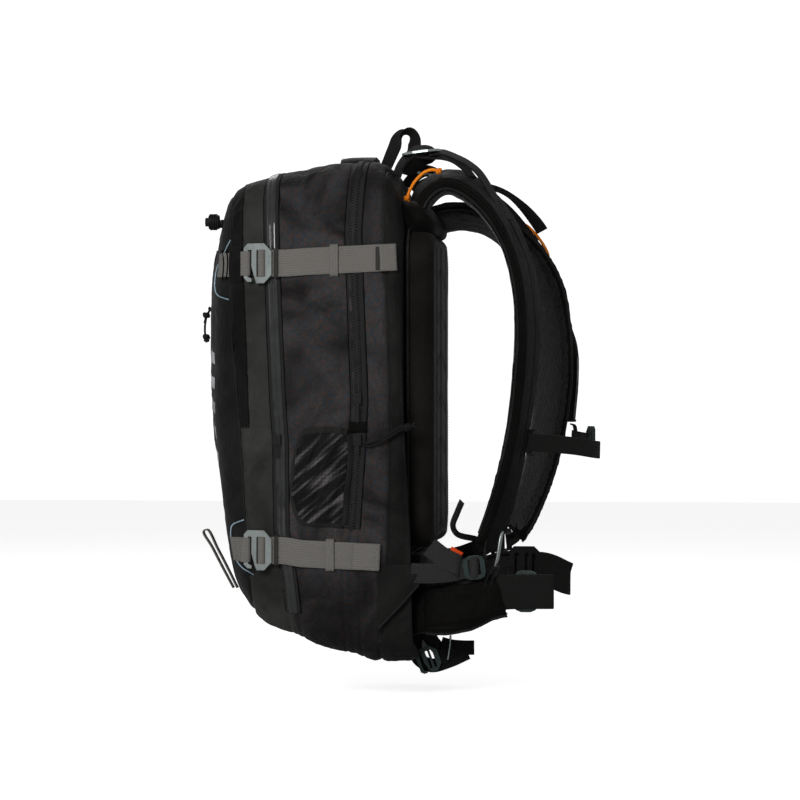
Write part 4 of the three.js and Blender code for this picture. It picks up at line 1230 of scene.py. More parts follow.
def build_ski_strap(side, level, z):
    """The webbing from its sewn end through the hook, and the pieces round both."""
    skin = SKINS[side]
    sewn_end = SEWN_ENDS[level]
    run = ski_strap_run(skin, z, sewn_end)
    rise = np.interp(run[:, 1], [-165, sewn_end], RISES[level])
    run[:, 2] += rise * smoothstep(run[:, 1], -168, -140)
    # Under the hook's end bar, up through one slot, over the centre bar, down the other and back under.
    laced = [(18, -2.7), (13, -2.9), (9, -2.4), (7.6, 0.2), (6.2, 2.4), (4.1, 2.9), (2, 2.4), (0.6, 0.2),
             (-0.6, -2.4), (3, -4.4), (12, -4.9)]
    inside = [hook_point(along, out, z) for along, out in laced]
    route = curve_through(on_side(side, np.vstack([run, inside])), 1.8)
    across, outward = frames(route, Z)
    section = strip_section(SKI_WIDTH, 1.7)
    strap = sweep(f"{level}_ski_webbing_{side}", route, section, across, outward, GREY_WEB,
                  slot="grey_webbing")
    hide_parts(f"{level}_ski_strap_{side}")
    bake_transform(strap)
    build_ski_tail(side, level, z, run)
    build_ski_front(side, level, z)


def build_ski_tail(side, level, z, run):
    """The folded tail, the sewn end, the strips of painted shadow by the hook and at the upper tail's end,
    and the keeper.
    """
    sign = SIDES[side]
    sewn_end = SEWN_ENDS[level]
    tail_end = {"upper": 6, "lower": 10}[level]
    tail = [(sign * (run[k][0] + 1.9), run[k][1], run[k][2]) for k in (0, tail_end)]
    webbing(f"{level}_ski_tail_{side}", curve_through(tail, 2.2), SKI_WIDTH - 0.6, 1.6, Z, GREY_WEB, "pack",
            "grey_webbing")
    x = run[-1][0]
    # Painted shadow: a dark webbing strip by the hook, where the strap dips behind the end bar into shade.
    bulge = [(-0.6, -16), (1.5, -13.5), (1.6, 0), (1.5, 13.5), (-0.6, 16)]
    strip = [(sign * (x + out), -171.5, z + w) for out, w in bulge]
    webbing(f"{level}_ski_shadow_strip_{side}", strip, 5, 1.2, Y, PAINTED_SHADOW_WEB, "pack", "grey_webbing", spacing=1.5)
    for k in range(5):
        y = sewn_end - 3 - 1.6 * k
        row = [(sign * (run[0][0] + 2.8), y, run[0][2] + w) for w in np.linspace(-12, 12, 9)]
        stitches(f"{level}_ski_tack_{side}_{k}", np.array(row, float), np.tile((sign, 0.0, 0.0), (9, 1)),
                 "pack", PALE_THREAD, 2.2, 2.0)
    # Painted shadow: on the upper strap, a dark strip over the gap where the folded tail ends.
    x, y, height = run[tail_end]
    tack = [(sign * (x + 1.3), y - 2.5, height + w) for w in (-13.5, 0, 12)]
    if level == "upper":
        webbing(f"upper_ski_tail_tack_{side}", tack, 4.5, 1.1, Y, PAINTED_SHADOW_WEB, "pack", "grey_webbing",
                spacing=1.5)
    keeper_y = {"upper": -106.5, "lower": -111}[level]
    k = int(np.argmin(np.abs(run[:, 1] - keeper_y)))
    x, _, height = run[k]
    bulge = [(-2.4, -17.5), (0.4, -17), (2.2, -15.4), (2.5, 0), (2.2, 15.4), (0.4, 17), (-2.4, 17.5)]
    loop = [(sign * (x + out), keeper_y, height + w) for out, w in bulge]
    webbing(f"{level}_ski_keeper_{side}", loop, 9.5, 1.3, Y, GREY_WEB, "pack", "grey_webbing", spacing=1.2)


def build_ski_front(side, level, z):
    """The loop that the hook's side bar hangs in, and the webbing that it comes from."""
    sign = SIDES[side]
    skin = SKINS[side]
    tuck = skin.at(-213.5, z, 1.3)[0] * (sign, 1, 1)
    loop = [skin.at(-219, z, 0.8)[0] * (sign, 1, 1), tuck]
    round_bar = [(-19.5, 2.2), (-17.5, 2.8), (-14.5, 3.0), (-11.4, 2.4), (-10.2, 0), (-11.5, -2.6),
                 (-15.5, -2.9), (-20, -2.0)]
    loop += [hook_point(along, out, z) for along, out in round_bar]
    route = curve_through(on_side(side, loop), 1.8)
    across, outward = frames(route, Z)
    section = strip_section(SKI_LOOP_WIDTH, 1.6)
    front = sweep(f"{level}_ski_front_loop_{side}", route, section, across, outward, GREY_WEB,
                  slot="grey_webbing")
    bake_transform(front)

    # The exposed webbing; the upper one has two dark bows over it and runs under the band's tunnel.
    root_y = {"upper": (-243, -238, -233, -226), "lower": (-226, -220, -212, -202)}[level]
    route, outward = skin.path([(y, z) for y in root_y], lift=0.9, spacing=1.5)
    on_skin(f"{level}_ski_root_{side}", route, outward, strip_section(SKI_LOOP_WIDTH, 1.5), GREY_WEB,
            slot="grey_webbing")
    if level == "lower":
        return
    tunnel_y = np.linspace(-228, -211.5, 11)[:, None]
    tunnel_z = np.linspace(z - 20, z + 20, 22)[None]
    arch = 1.0 + 2.2 * np.clip(np.sin(np.linspace(0, np.pi, 22)), 0, 1)[None] ** 0.4 + 0 * tunnel_y
    patch(f"{level}_ski_tunnel_{side}", skin, tunnel_y, tunnel_z, arch, 0.9, BAND, slot="pack_fabric")
    for label, y in (("front", -236.5), ("back", -231.5)):
        bow = [(y, z - 17), (y + 1.2, z - 9), (y + 1.7, z), (y + 1.2, z + 9), (y, z + 17)]
        route, outward = skin.path(bow, lift=1.9, spacing=1.5)
        on_skin(f"{level}_ski_bow_{label}_{side}", route, outward, round_section(0.9, 8), STRAP_CLOTH,
                slot="pack_fabric")


def build_ski_arcs():
    """The pale piped arcs round the straps' roots."""
    arcs = {
        "upper": [(-228, 178.6), (-239, 158), (-246, 148), (-248.5, 127), (-244, 118), (-229, 112)],
        "lower": [(-210, -133), (-225, -140), (-227, -151), (-223.5, -173), (-214, -186), (-199, -194)],
    }
    for side in SIDES:
        for level, pairs in arcs.items():
            route, outward = SKINS[side].path(pairs, lift=0.9, spacing=1.5)
            on_skin(f"{level}_cutout_piping_{side}", route, outward, round_section(0.75, 8), PIPING,
                    slot="grey_webbing")


for side_name in SIDES:
    build_ski_strap(side_name, "upper", UPPER_STRAP_Z)
    build_ski_strap(side_name, "lower", LOWER_STRAP_Z)
build_ski_arcs()

# ---------------------------------------------------------------- front panel


def build_front():
    """The panel's vertical zip, its plain reflective bars and its stitch lines."""
    route, outward = FRONT_SKIN.path([(40, z) for z in (170, 120, 60, 0, -60)], lift=0.5)
    across, outward = square_up(route, outward)
    section = strip_section(FRONT_ZIP_WIDTH, 0.9)
    sweep("front_zip_weave", route, section, across, outward, ZIP_TAPE, "pack", "zip_tape")
    sweep("front_zip_film", route + outward * 0.4, FILM_SECTION, across, outward, ZIP_FILM, "pack",
          "coated_zip")
    stitched_strip("front_zip", route, across, outward, FRONT_ZIP_WIDTH, "pack", inset=1.3, height=0.45)
    for i, z in enumerate([46, 18, -10, -38, -66]):
        for side, sign in SIDES.items():
            t = np.linspace(0, 1, 14)[:, None]
            s = np.linspace(0, 1, 8)[None]
            bar_x = sign * (56 + 30 * t)
            bar_z = z - 6 * t + 13 * s
            patch(f"reflective_bar_{side}_{i}", FRONT_SKIN, bar_x, bar_z, 0.5, 0.4, REFLECTIVE,
                  slot="grey_webbing")
    for i, x in enumerate([-28, 0]):
        route, outward = FRONT_SKIN.path([(x, z) for z in (190, 120, 40, -40, -120)], lift=0.3)
        stitches(f"front_panel_stitches_{i}", route, outward, "pack")
    for i, z in enumerate([186, -150]):
        route, outward = FRONT_SKIN.path([(x, z) for x in (-70, -30, 0, 30, 70)], lift=0.3)
        stitches(f"front_panel_cross_stitches_{i}", route, outward, "pack")


build_front()

# ---------------------------------------------------------------- top: flap, haul loop, ice axe loop


FLAP_TOP = 278.0
FLAP_HALF = 36
FLAP_BACK_Y = -73.5
FLAP_LENGTH = 40


def flap_height(side, forward):
    """The flap's top over its middle line; side and forward run to 1 at its edges."""
    return FLAP_TOP - 8.5 * np.abs(side) ** 4 - 2.0 * forward**6


def build_flap():
    """The top flap over the airbag's exit."""
    columns = np.linspace(-1, 1, 34)[:, None]
    rows = np.linspace(0, 1, 24)[None]
    x = FLAP_HALF * columns * (1 - 0.10 * rows**4)
    y = FLAP_BACK_Y - FLAP_LENGTH * rows
    lift = flap_height(columns, rows) + 0.6 * np.sin(np.pi * rows)
    wave = 0.35 * np.sin(columns * 7 + rows * 3)
    grid = np.stack(np.broadcast_arrays(x, y, lift + wave), -1)
    normals = np.broadcast_to(Z, grid.shape)
    flap = sheet_mesh("top_flap_cloth", grid, normals, 5.5, PANEL, "top_flap", "panel_fabric")
    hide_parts("top_flap")
    edge = [(-33, -76), (-33, -109), (0, -111), (33, -109), (33, -76)]
    route = curve_through([(a, b, 279.4) for a, b in edge], 2)
    forward = np.clip((FLAP_BACK_Y - route[:, 1]) / FLAP_LENGTH, 0, 1)
    route[:, 2] = flap_height(route[:, 0] / FLAP_HALF, forward) + 0.8
    stitches("top_flap_stitches", route, np.tile(Z, (len(route), 1)), "top_flap", GREY_THREAD)


def build_haul_loop():
    grip = [(-10, -68, 262), (-9, -61.5, 277), (-6, -56, 289), (-2, -50.5, 300), (1.5, -44, 305),
            (5, -36, 304.4), (7.5, -31, 297), (8, -32.5, 280), (8, -40, 258)]
    turn = math.radians(40)
    wide = np.array([math.cos(turn), math.sin(turn), 0])
    route = curve_through(grip, 1.5)
    across, outward = frames(route, wide)
    section = strip_section(HAUL_WIDTH, 2)
    loop = sweep("haul_loop_webbing", route, section, across, outward, BLACK_WEB, "haul_loop",
                 "black_webbing")
    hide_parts("haul_loop")
    for label, index, step in (("front", 3, 1), ("back", -6, -1)):
        for k in range(3):
            bar_tack(f"haul_loop_tack_{label}_{k}", route, across, outward, index + step * k, 9, 8, 1.1,
                     "haul_loop")


def build_ice_axe_loop():
    axe = [(62, -231.5, -213), (62, -245, -188), (62, -256, -167), (62, -266, -149), (62, -261.5, -147),
           (62, -250, -168), (62, -239, -189), (62, -227, -213)]
    piece = webbing("ice_axe_loop_webbing", axe, AXE_WIDTH, 1.6, X, GREY_WEB, "ice_axe_loop",
                    "grey_webbing", spacing=2)
    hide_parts("ice_axe_loop")


def build_cord_lock_details():
    """The netted elastic round the lock's barrel, the two cords that it hangs on and their knots."""
    t = np.linspace(0, 1, 120)
    for label, turns, phase in (("a", 3, 0), ("b", -3, 0.6)):
        angle = 2 * np.pi * turns * t + phase
        route = np.stack([60 + 8.6 * np.cos(angle), -250.5 - 8.2 * t, 202 + 8.6 * np.sin(angle)], 1)
        cord_mesh(f"cord_lock_net_{label}", route, 0.75, BLACK_CORD, "pack")
    panel = FRONT_SKIN.at(60, 196)[0]
    stems = {
        "elastic": [panel, (60, -243, 199), (59, -249, 201), (58, -252, 203)],
        "loop": [panel + (0, 0, -3), (57, -242, 192), (57, -247, 184), (58, -246, 174)],
    }
    for label, points in stems.items():
        cord_mesh(f"cord_lock_{label}", curve_through(points, 1.5), 1.5, BLACK_CORD, "pack")
    for label, centre in (("inner", (60, -245.5, 200)), ("outer", (60, -259, 203))):
        knot(f"cord_lock_knot_{label}", centre, Y, 3.4, 1.9, BLACK_CORD, "pack", "black_cord")


def build_front_pull_ends():
    """The knots and short tails at both ends of the front zip's pull."""
    for label, z, drop in (("upper", 97, 9), ("lower", 72, 5)):
        centre = np.array([40, -266.5, z])
        knot(f"front_pull_{label}_knot", centre, Z, 3.0, 1.7, BLACK_CORD, "pack", "black_cord")
        tail = [centre, centre + (0, -1.2, -drop / 2), centre + (0, -2.4, -drop)]
        cord_mesh(f"front_pull_{label}_tail", curve_through(tail, 1.2), 1.2, BLACK_CORD, "pack")


build_flap()
build_haul_loop()
build_ice_axe_loop()
build_cord_lock_details()
build_front_pull_ends()

# ---------------------------------------------------------------- padded pieces

# The pads' outlines: half width, top z, bottom z and corner radius.
BACK_PAD = (111, 192, -167, 33)
LUMBAR_PAD = (99, -172, -249, 23)
PAD_BACK_Y = -32.4
PUFF_FRAMES = 20
PUFF_PRESSURE = 4.0
STRIP_VOXEL = 4.0


def evaluated_mesh(piece):
    graph = bpy.context.evaluated_depsgraph_get()
    return bpy.data.meshes.new_from_object(piece.evaluated_get(graph))


def take_mesh(piece, made):
    """Gives the piece a new mesh and drops its modifiers."""
    materials = list(piece.data.materials)
    piece.modifiers.clear()
    old = piece.data
    piece.data = made
    bpy.data.meshes.remove(old)
    made.materials.clear()
    for material in materials:
        made.materials.append(material)
    made.polygons.foreach_set("use_smooth", [True] * len(made.polygons))


def coordinates(data):
    points = np.zeros(len(data.vertices) * 3, np.float32)
    data.vertices.foreach_get("co", points)
    return points.reshape(-1, 3).astype(float)


def puff(piece, cap, voxel):
    """Remeshes a closed pad and lets cloth under pressure swell it, by at most cap."""
    remesh = piece.modifiers.new("remesh", "REMESH")
    remesh.mode = "VOXEL"
    remesh.voxel_size = voxel * MM
    take_mesh(piece, evaluated_mesh(piece))
    before = coordinates(piece.data)
    cloth = piece.modifiers.new("cloth", "CLOTH")
    cloth.settings.use_pressure = True
    cloth.settings.uniform_pressure_force = PUFF_PRESSURE
    cloth.settings.effector_weights.gravity = 0
    cloth.point_cache.frame_start = 1
    cloth.point_cache.frame_end = PUFF_FRAMES
    for frame_number in range(1, PUFF_FRAMES + 1):
        bpy.context.scene.frame_set(frame_number)
    made = evaluated_mesh(piece)
    moved = coordinates(made) - before
    distance = np.linalg.norm(moved, axis=1, keepdims=True)
    kept = before + moved * np.minimum(1, cap * MM / np.maximum(distance, 1e-9))
    made.vertices.foreach_set("co", kept.ravel())
    take_mesh(piece, made)
    bpy.context.scene.frame_set(1)
    piece.modifiers.new("smooth", "SUBSURF").levels = 1
    take_mesh(piece, evaluated_mesh(piece))


def settle(route, pad, reach):
    """Draws each point of a route to within reach of a pad's surface, and evens the result."""
    points = coordinates(pad.data) / MM
    tree = kdtree.KDTree(len(points))
    for i, point in enumerate(points):
        tree.insert(point, i)
    tree.balance()
    settled = []
    for point in route:
        nearest, _, distance = tree.find(point)
        pull = max(0.0, 1 - reach / max(distance, 1e-6))
        settled.append(point + (np.array(nearest) - point) * pull)
    padded = np.pad(settled, ((3, 3), (0, 0)), mode="edge")
    return np.array([padded[i:i + 7].mean(0) for i in range(len(settled))])


def carve(piece, depth):
    """Moves each point along its normal by depth(points, normals), in millimetres."""
    data = piece.data
    points = coordinates(data)
    normals = np.zeros(len(points) * 3, np.float32)
    data.vertices.foreach_get("normal", normals)
    normals = normals.reshape(-1, 3).astype(float)
    moved = points + normals * (depth(points / MM, normals) * MM)[:, None]
    data.vertices.foreach_set("co", moved.ravel())
    data.update()


def rounded_outline(half, top, bottom, corner, count):
    """A rounded rectangle in the XZ plane, evenly spaced."""
    points = []
    for x, z, start in [(half, bottom, -90), (half, top, 0), (-half, top, 90), (-half, bottom, 180)]:
        centre = (x - math.copysign(corner, x), z + corner if z == bottom else z - corner)
        for k in range(13):
            angle = math.radians(start + 90 * k / 12)
            points.append((centre[0] + corner * math.cos(angle), centre[1] + corner * math.sin(angle)))
    points.append(points[0])
    return resample(points, count + 1)[:-1]


def plate_pad(name, half, top, bottom, corner, back, front, edge, material, count=260):
    """A pad over a rounded rectangle: a rolled edge and a face of shrinking rings."""
    outline = rounded_outline(half, top, bottom, corner, count)
    middle = outline.mean(0)
    reach = np.linalg.norm(outline - middle, axis=1)

    def ring(inset, y):
        scaled = middle + (outline - middle) * np.maximum(0.004, 1 - inset / reach)[:, None]
        return np.stack([scaled[:, 0], np.full(count, y), scaled[:, 1]], 1)

    rings = [ring(reach.max() * k, back) for k in (1.0, 0.5)] + [ring(edge * 0.6, back)]
    for angle in np.linspace(0, np.pi / 2, 9):
        rings.append(ring(edge * (1 - math.cos(angle)) ** 1.4,
                          back + 3 + (front - back - 3) * math.sin(angle)))
    for k in np.linspace(0.04, 1.0, 46):
        rings.append(ring(edge + (reach.max() - edge) * k, front))
    points = np.concatenate(rings)
    faces = grid_faces(len(rings), count)
    last = (len(rings) - 1) * count
    faces += [tuple(range(count)), tuple(last + i for i in range(count))]
    return mesh(name, points, faces, material)


def outline_route(half, top, bottom, corner, inset, y, count=400):
    outline = rounded_outline(half - inset, top - inset, bottom + inset, max(4, corner - inset), count)
    route = np.stack([outline[:, 0], np.full(count, y), outline[:, 1]], 1)
    return np.vstack([route, route[:1]])


def finish_pad(pad, body, node):
    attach(pad, body)
    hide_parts(node)


def line_faces(pad, choose):
    """Puts the open knit on the faces that choose(centres) picks; the centres are in metres."""
    centres = np.zeros(len(pad.data.polygons) * 3, np.float32)
    pad.data.polygons.foreach_get("center", centres)
    pad.data.materials.append(SPACER)
    pad.data.polygons.foreach_set("material_index", choose(centres.reshape(-1, 3)).astype(np.int32))


def back_pad_depth(points, normals):
    """Moulded channels: one down the middle, one each side, and short slanted ribs between."""
    x, y, z = points.T
    face = np.clip(normals[:, 1] * 2 - 0.6, 0, 1) * np.clip((y + 12) / 8, 0, 1)
    inner = (z > -150) & (z < 175)
    depth = -2.6 * groove(x, 6) * inner
    depth -= 1.8 * groove(np.abs(x) - 62, 3.5) * inner
    slant = z + 0.35 * np.abs(x)
    ribs = np.abs((slant + 16) % 48 - 24)
    depth -= 1.5 * groove(ribs, 2.6) * ((np.abs(x) > 10) & (np.abs(x) < 58)) * inner
    return depth * face


def build_back():
    """The foam back panel and the lumbar cushion."""
    pad = plate_pad("back_panel_pad", *BACK_PAD, PAD_BACK_Y, -0.4, 10, FOAM)
    puff(pad, 2.0, voxel=5.0)
    carve(pad, lambda p, n: np.minimum(0, -0.4 - p[:, 1]) * (n[:, 1] > 0.3))
    carve(pad, back_pad_depth)
    finish_pad(pad, "pack", "back_foam_pad")
    route = outline_route(*BACK_PAD, -0.4, -29)
    across, outward = frames(route, Y)
    sweep("back_pad_piping", route, round_section(1.6, 8), across, outward, BINDING, "pack", "back_pad")
    stitches("back_pad_stitches", outline_route(*BACK_PAD, 12, 0.1), np.tile(Y, (401, 1)), "pack")

    lumbar = plate_pad("lumbar_cushion", *LUMBAR_PAD, PAD_BACK_Y, 5.2, 9, SPACER, count=180)
    puff(lumbar, 2.0, voxel=4.5)
    carve(lumbar, lambda p, n: np.minimum(0, 5.6 - p[:, 1]) * (n[:, 1] > 0.3))
    carve(lumbar, lambda p, n: -1.8 * groove(np.abs(p[:, 0]) - 34, 3) * np.clip(n[:, 1] * 2 - 0.8, 0, 1))
    finish_pad(lumbar, "pack", "lumbar_pad")
    route = outline_route(*LUMBAR_PAD, -0.4, -28, 260)
    across, outward = frames(route, Y)
    sweep("lumbar_piping", route, round_section(1.5, 8), across, outward, BINDING, "pack", "back_pad")


build_back()


def build_yoke():
    """The padded cloth at the top of the back that both shoulder straps grow out of."""
    outline = np.array([(-46, 222), (-26, 226), (-10, 219), (-1, 207), (2, 197), (0, 188), (-10, 184),
                        (-34, 184)], float)
    for _ in range(3):
        ahead = np.roll(outline, -1, 0)
        outline = np.stack([0.75 * outline + 0.25 * ahead, 0.25 * outline + 0.75 * ahead], 1).reshape(-1, 2)
    middle = outline.mean(0)
    rings = []
    for x in np.linspace(-104, 104, 61):
        edge = (1 - np.abs(x / 104.5) ** 6) ** 0.5
        sag = 1 - 0.16 * np.exp(-((x / 26) ** 2))
        ring = middle + (outline - middle) * edge * sag
        rings.append(np.stack([np.full(len(ring), x), ring[:, 0], ring[:, 1]], 1))
    count = len(outline)
    faces = grid_faces(len(rings), count)
    last = (len(rings) - 1) * count
    faces += [tuple(range(count)), tuple(last + i for i in range(count))]
    yoke = mesh("shoulder_yoke", np.concatenate(rings), faces, STRAP_CLOTH, "pack", slot="back_pad")
    carve(yoke, lambda p, n: (rumple(p, 18, 2.7) - 0.8) * 1.6)


build_yoke()

# ---------------------------------------------------------------- shoulder straps

STRAP_TILT = math.radians(17)
STRAP_ROUTES = {
    "right": [(60, -26, 208), (62, -12, 233), (66, 12, 245), (71, 40, 235), (76, 74, 198), (81, 95, 148),
              (86, 103, 88), (90, 101, 30), (94, 93, -30), (99, 81, -90), (107, 65, -142), (112, 55, -166)],
    "left": [(-60, -26, 203), (-62, -8, 211), (-67, 22, 215), (-71, 60, 203), (-74, 93, 172),
             (-78, 114, 130), (-82, 123, 84), (-86, 125, 30), (-90, 119, -30), (-95, 105, -90),
             (-100, 88, -132), (-105, 75, -157)],
}
SLEEVE_ROUTE = [(-72, 62, 206), (-77, 98, 176), (-82, 122, 132), (-86, 133, 84), (-90, 135, 30),
                (-94, 130, -30)]


class Strip:
    """A route with its frames, and the way from a point back to its place along and across it."""

    def __init__(self, points, hint, tilt=0.0, spacing=3.0):
        self.route = curve_through(points, spacing)
        self.t = np.linspace(0, 1, len(self.route))
        self.across, self.outward = frames(self.route, hint, tilt(self.t) if callable(tilt) else tilt)
        self.tree = kdtree.KDTree(len(self.route))
        for i, point in enumerate(self.route):
            self.tree.insert(point, i)
        self.tree.balance()

    def local(self, points):
        index = np.array([self.tree.find(point)[1] for point in points])
        away = points - self.route[index]
        u = (away * self.across[index]).sum(1)
        v = (away * self.outward[index]).sum(1)
        return self.t[index], u, v

    def point(self, t, u, v):
        i = np.clip(np.asarray(t) * (len(self.route) - 1), 0, len(self.route) - 1.001)
        low = np.floor(i).astype(int)
        part = (i - low)[..., None]
        at = self.route[low] * (1 - part) + self.route[low + 1] * part
        across = unit(self.across[low] * (1 - part) + self.across[low + 1] * part)
        outward = unit(self.outward[low] * (1 - part) + self.outward[low + 1] * part)
        return at + across * np.asarray(u)[..., None] + outward * np.asarray(v)[..., None], across, outward


def padded_strip(name, strip, width, thickness, material, cap):
    """A crowned pad along a strip; width and thickness are functions of its fraction."""
    angle = np.linspace(0, 2 * np.pi, 36, endpoint=False)
    shape = np.stack([np.sign(np.cos(angle)) * np.abs(np.cos(angle)) ** 0.38,
                      np.sign(np.sin(angle)) * np.abs(np.sin(angle)) ** 0.5], 1)
    sections = []
    for t in strip.t:
        end = min(1.0, 0.55 + 9 * min(t, 1 - t))
        sections.append(shape * (width(t) / 2, thickness(t) / 2 * end))
    pad = sweep(name, strip.route, np.array(sections), strip.across, strip.outward, material)
    puff(pad, cap, voxel=STRIP_VOXEL)
    return pad


STRAP_TOP_WIDTHS = {"right": 66, "left": 74}
STRAP_LOW_WIDTHS = {"right": 41, "left": 56}


def strap_width(t, side):
    top, low = STRAP_TOP_WIDTHS[side], STRAP_LOW_WIDTHS[side]
    return top - (top - low) * smoothstep(t, 0.55, 1)


def strap_thickness(t, side):
    extra = 6.5 if side == "right" else 0.0
    return 13.4 + extra * (1 - smoothstep(t, 0.12, 0.34))


def strap_tilt(side):
    """The strap's lean at each fraction of its route; the left one turns on toward its lower end."""
    turn, low, high = {"left": (21, 0.12, 0.42), "right": (16, 0.7, 0.95)}[side]
    return lambda t: SIDES[side] * (STRAP_TILT + math.radians(turn) * smoothstep(t, low, high))


def edge_piping(name, strip, pad, width, radius, material, body, slot):
    t = np.linspace(0.02, 0.98, 150)
    for label, side in EDGES:
        half = np.array([width(value) / 2 for value in t])
        route, across, outward = strip.point(t, side * (half + 0.3), 0 * t)
        route = settle(route, pad, radius * 0.7)
        sweep(f"{name}_piping_{label}", route, round_section(radius, 8), across, outward, material, body,
              slot)


def strip_stitches(name, strip, offset, height, body, low=0.06):
    t = np.linspace(low, 0.95, 260)
    route, _, outward = strip.point(t, np.array([offset(value) for value in t]), height + 0 * t)
    stitches(name, route, outward, body)


def build_strap(side):
    """The shoulder strap's pad, its sewn lines and binding, and the webbing down its middle."""
    body = f"shoulder_strap_{side}"
    strip = Strip(STRAP_ROUTES[side], X, strap_tilt(side))
    width_at = lambda t: strap_width(t, side)
    pad = padded_strip(f"{body}_pad", strip, width_at, lambda t: strap_thickness(t, side), STRAP_CLOTH, 1.4)

    def depth(points, _):
        t, u, v = strip.local(points)
        half = width_at(t) / 2
        outer = np.clip(v / 3, 0, 1)
        carved = -1.3 * groove(np.abs(u) - (half - 6.5), 1.3)
        carved -= 1.3 * groove(u, 2.0) * outer * (t > 0.25) * (t < 0.8)
        wrinkles = (rumple(points, 15, 5.1) - 0.8) * 1.2
        return carved + wrinkles * np.clip(1.2 - 2.2 * np.abs(t - 0.12), 0.35, 1)

    carve(pad, depth)
    line_faces(pad, lambda centres: strip.local(centres / MM)[2] < -3.5)
    finish_pad(pad, body, body)
    edge_piping(body, strip, pad, lambda t: width_at(t) + 0.8, 1.5, BINDING, body, "strap_fabric")
    for label, s in EDGES:
        strip_stitches(f"{body}_stitches_{label}", strip, lambda t: s * (width_at(t) / 2 - 6.5), 5.6, body,
                       low=0.34)

    # Webbing down the middle, held by bar tacks. The left one ends above the trigger's sleeve.
    t = np.linspace(0.36, 0.47 if side == "left" else 0.86, 120)
    width = 19 if side == "right" else 16
    route, across, outward = strip.point(t, 0 * t, 6.9 + 0 * t)
    sweep(f"{body}_centre_webbing", route, strip_section(width, 1.2), across, outward, BLACK_WEB, body,
          "black_webbing")
    for k, where in enumerate(np.linspace(0.375, t[-1] - 0.01, 9 if side == "right" else 3)):
        ts = np.full(8, where)
        row, _, up = strip.point(ts, np.linspace(-width / 2 + 2, width / 2 - 2, 8), 7.7 + 0 * ts)
        stitches(f"{body}_tack_{k}", row, up, body, GREY_THREAD, 2.4, 2.1)
    return strip


def build_mark(strip):
    """A plain row of raised dashes where the right strap carries its print."""
    for k, t0 in enumerate([0.50, 0.53, 0.56, 0.59]):
        t = np.linspace(t0, t0 + 0.013, 6)[:, None]
        u = np.linspace(14.5, 23.5, 8)[None]
        grid, _, outward = strip.point(t + 0 * u, u + 0 * t, 7.3 - 0.012 * (u - 12) ** 2 + 0 * t)
        sheet_mesh(f"strap_dash_{k}", grid, outward, 0.7, REFLECTIVE, "shoulder_strap_right", "grey_webbing")


SLEEVE_TOP, SLEEVE_LOW = 0.52, 0.97


def build_sleeve(strip):
    """The zipped sleeve over the trigger, open at its lower end."""
    t = np.linspace(SLEEVE_TOP, SLEEVE_LOW, 60)[:, None]
    a = np.linspace(-1, 1, 40)[None]
    close = np.clip((t - SLEEVE_TOP) / 0.16, 0, 1) ** 0.5
    wide = 17 + 4 * close
    height = (6.2 + 12.6 * close) * (1 - np.abs(a) ** 3.2) ** 0.8 - 6 * np.abs(a) ** 4
    wave = 0.5 * np.sin(60 * t + 4 * a) * (1 - np.abs(a)) * close
    grid, _, outward = strip.point(t + 0 * a, a * wide + 0 * t, height + wave)
    sheet_mesh("trigger_sleeve", grid, outward, 1.2, STRAP_CLOTH, "shoulder_strap_left", "strap_fabric")
    line = np.linspace(SLEEVE_TOP + 0.17, SLEEVE_LOW - 0.01, 90)
    route, across, outward = strip.point(line, 12.5 + 0 * line, 15.3 + 0 * line)
    outward = unit(outward * 0.8 + across * 0.6)
    on_skin("sleeve_zip_film", route, outward, strip_section(7, 1.2), ZIP_FILM, "shoulder_strap_left",
            "coated_zip")
    arch = a[0]
    rise = 19 * (1 - np.abs(arch) ** 3.2) ** 0.8 - 6 * np.abs(arch) ** 4
    route, _, outward = strip.point(np.full(40, SLEEVE_LOW), arch * 21, rise)
    on_skin("trigger_sleeve_cuff", route, outward, round_section(1.4, 8), BINDING, "shoulder_strap_left",
            "strap_fabric")


# Load lifters: where the webbing leaves the pack, rounds its buckle and reaches the strap.
LIFTERS = {
    "right": {
        "anchor": [(60, -46, 252), (60, -42, 263), (60, -36, 272), (60, -29, 278.5), (60, -24, 281.5),
                   (60, -18, 282.3), (60, -12, 282), (60, -7, 279), (60, -8, 274.5), (60, -16, 271),
                   (60, -28, 266), (60, -36, 256)],
        "main": [(61, -9, 277), (61, 4, 279.5), (61.5, 9, 278.5), (62, 20, 274), (63, 32, 268),
                 (64, 46, 257), (68, 60, 236), (73, 76, 208), (76, 86, 190), (79, 97, 166), (80, 101, 152)],
        "return": [(61, -22, 275.5), (62, -6, 274), (63, 8, 273), (64, 20, 269), (66, 32, 260),
                   (68, 40, 250)],
        "blend": ((61, 8, 278), (66, 50, 252)),
    },
    "left": {
        "anchor": [(-60, -46, 250), (-60, -40, 258), (-60, -33, 264.5), (-60, -26, 268), (-60, -20, 268),
                   (-60, -14, 266), (-60, -9, 263), (-60, -5, 259), (-60, -10, 256), (-60, -20, 256),
                   (-60, -32, 250), (-60, -38, 244)],
        "main": [(-61, -7, 259), (-61, 6, 257), (-61.5, 14, 255), (-62, 24, 252), (-63, 36, 248),
                 (-65, 54, 238), (-69, 76, 220), (-74, 100, 190), (-76, 110, 173), (-80, 124, 148),
                 (-81, 128, 138)],
        "return": [(-61, -20, 258), (-62, -4, 254), (-63, 10, 249), (-64, 24, 244), (-66, 38, 238),
                   (-68, 48, 230)],
        "blend": ((-61, 10, 257), (-66, 56, 236)),
    },
}


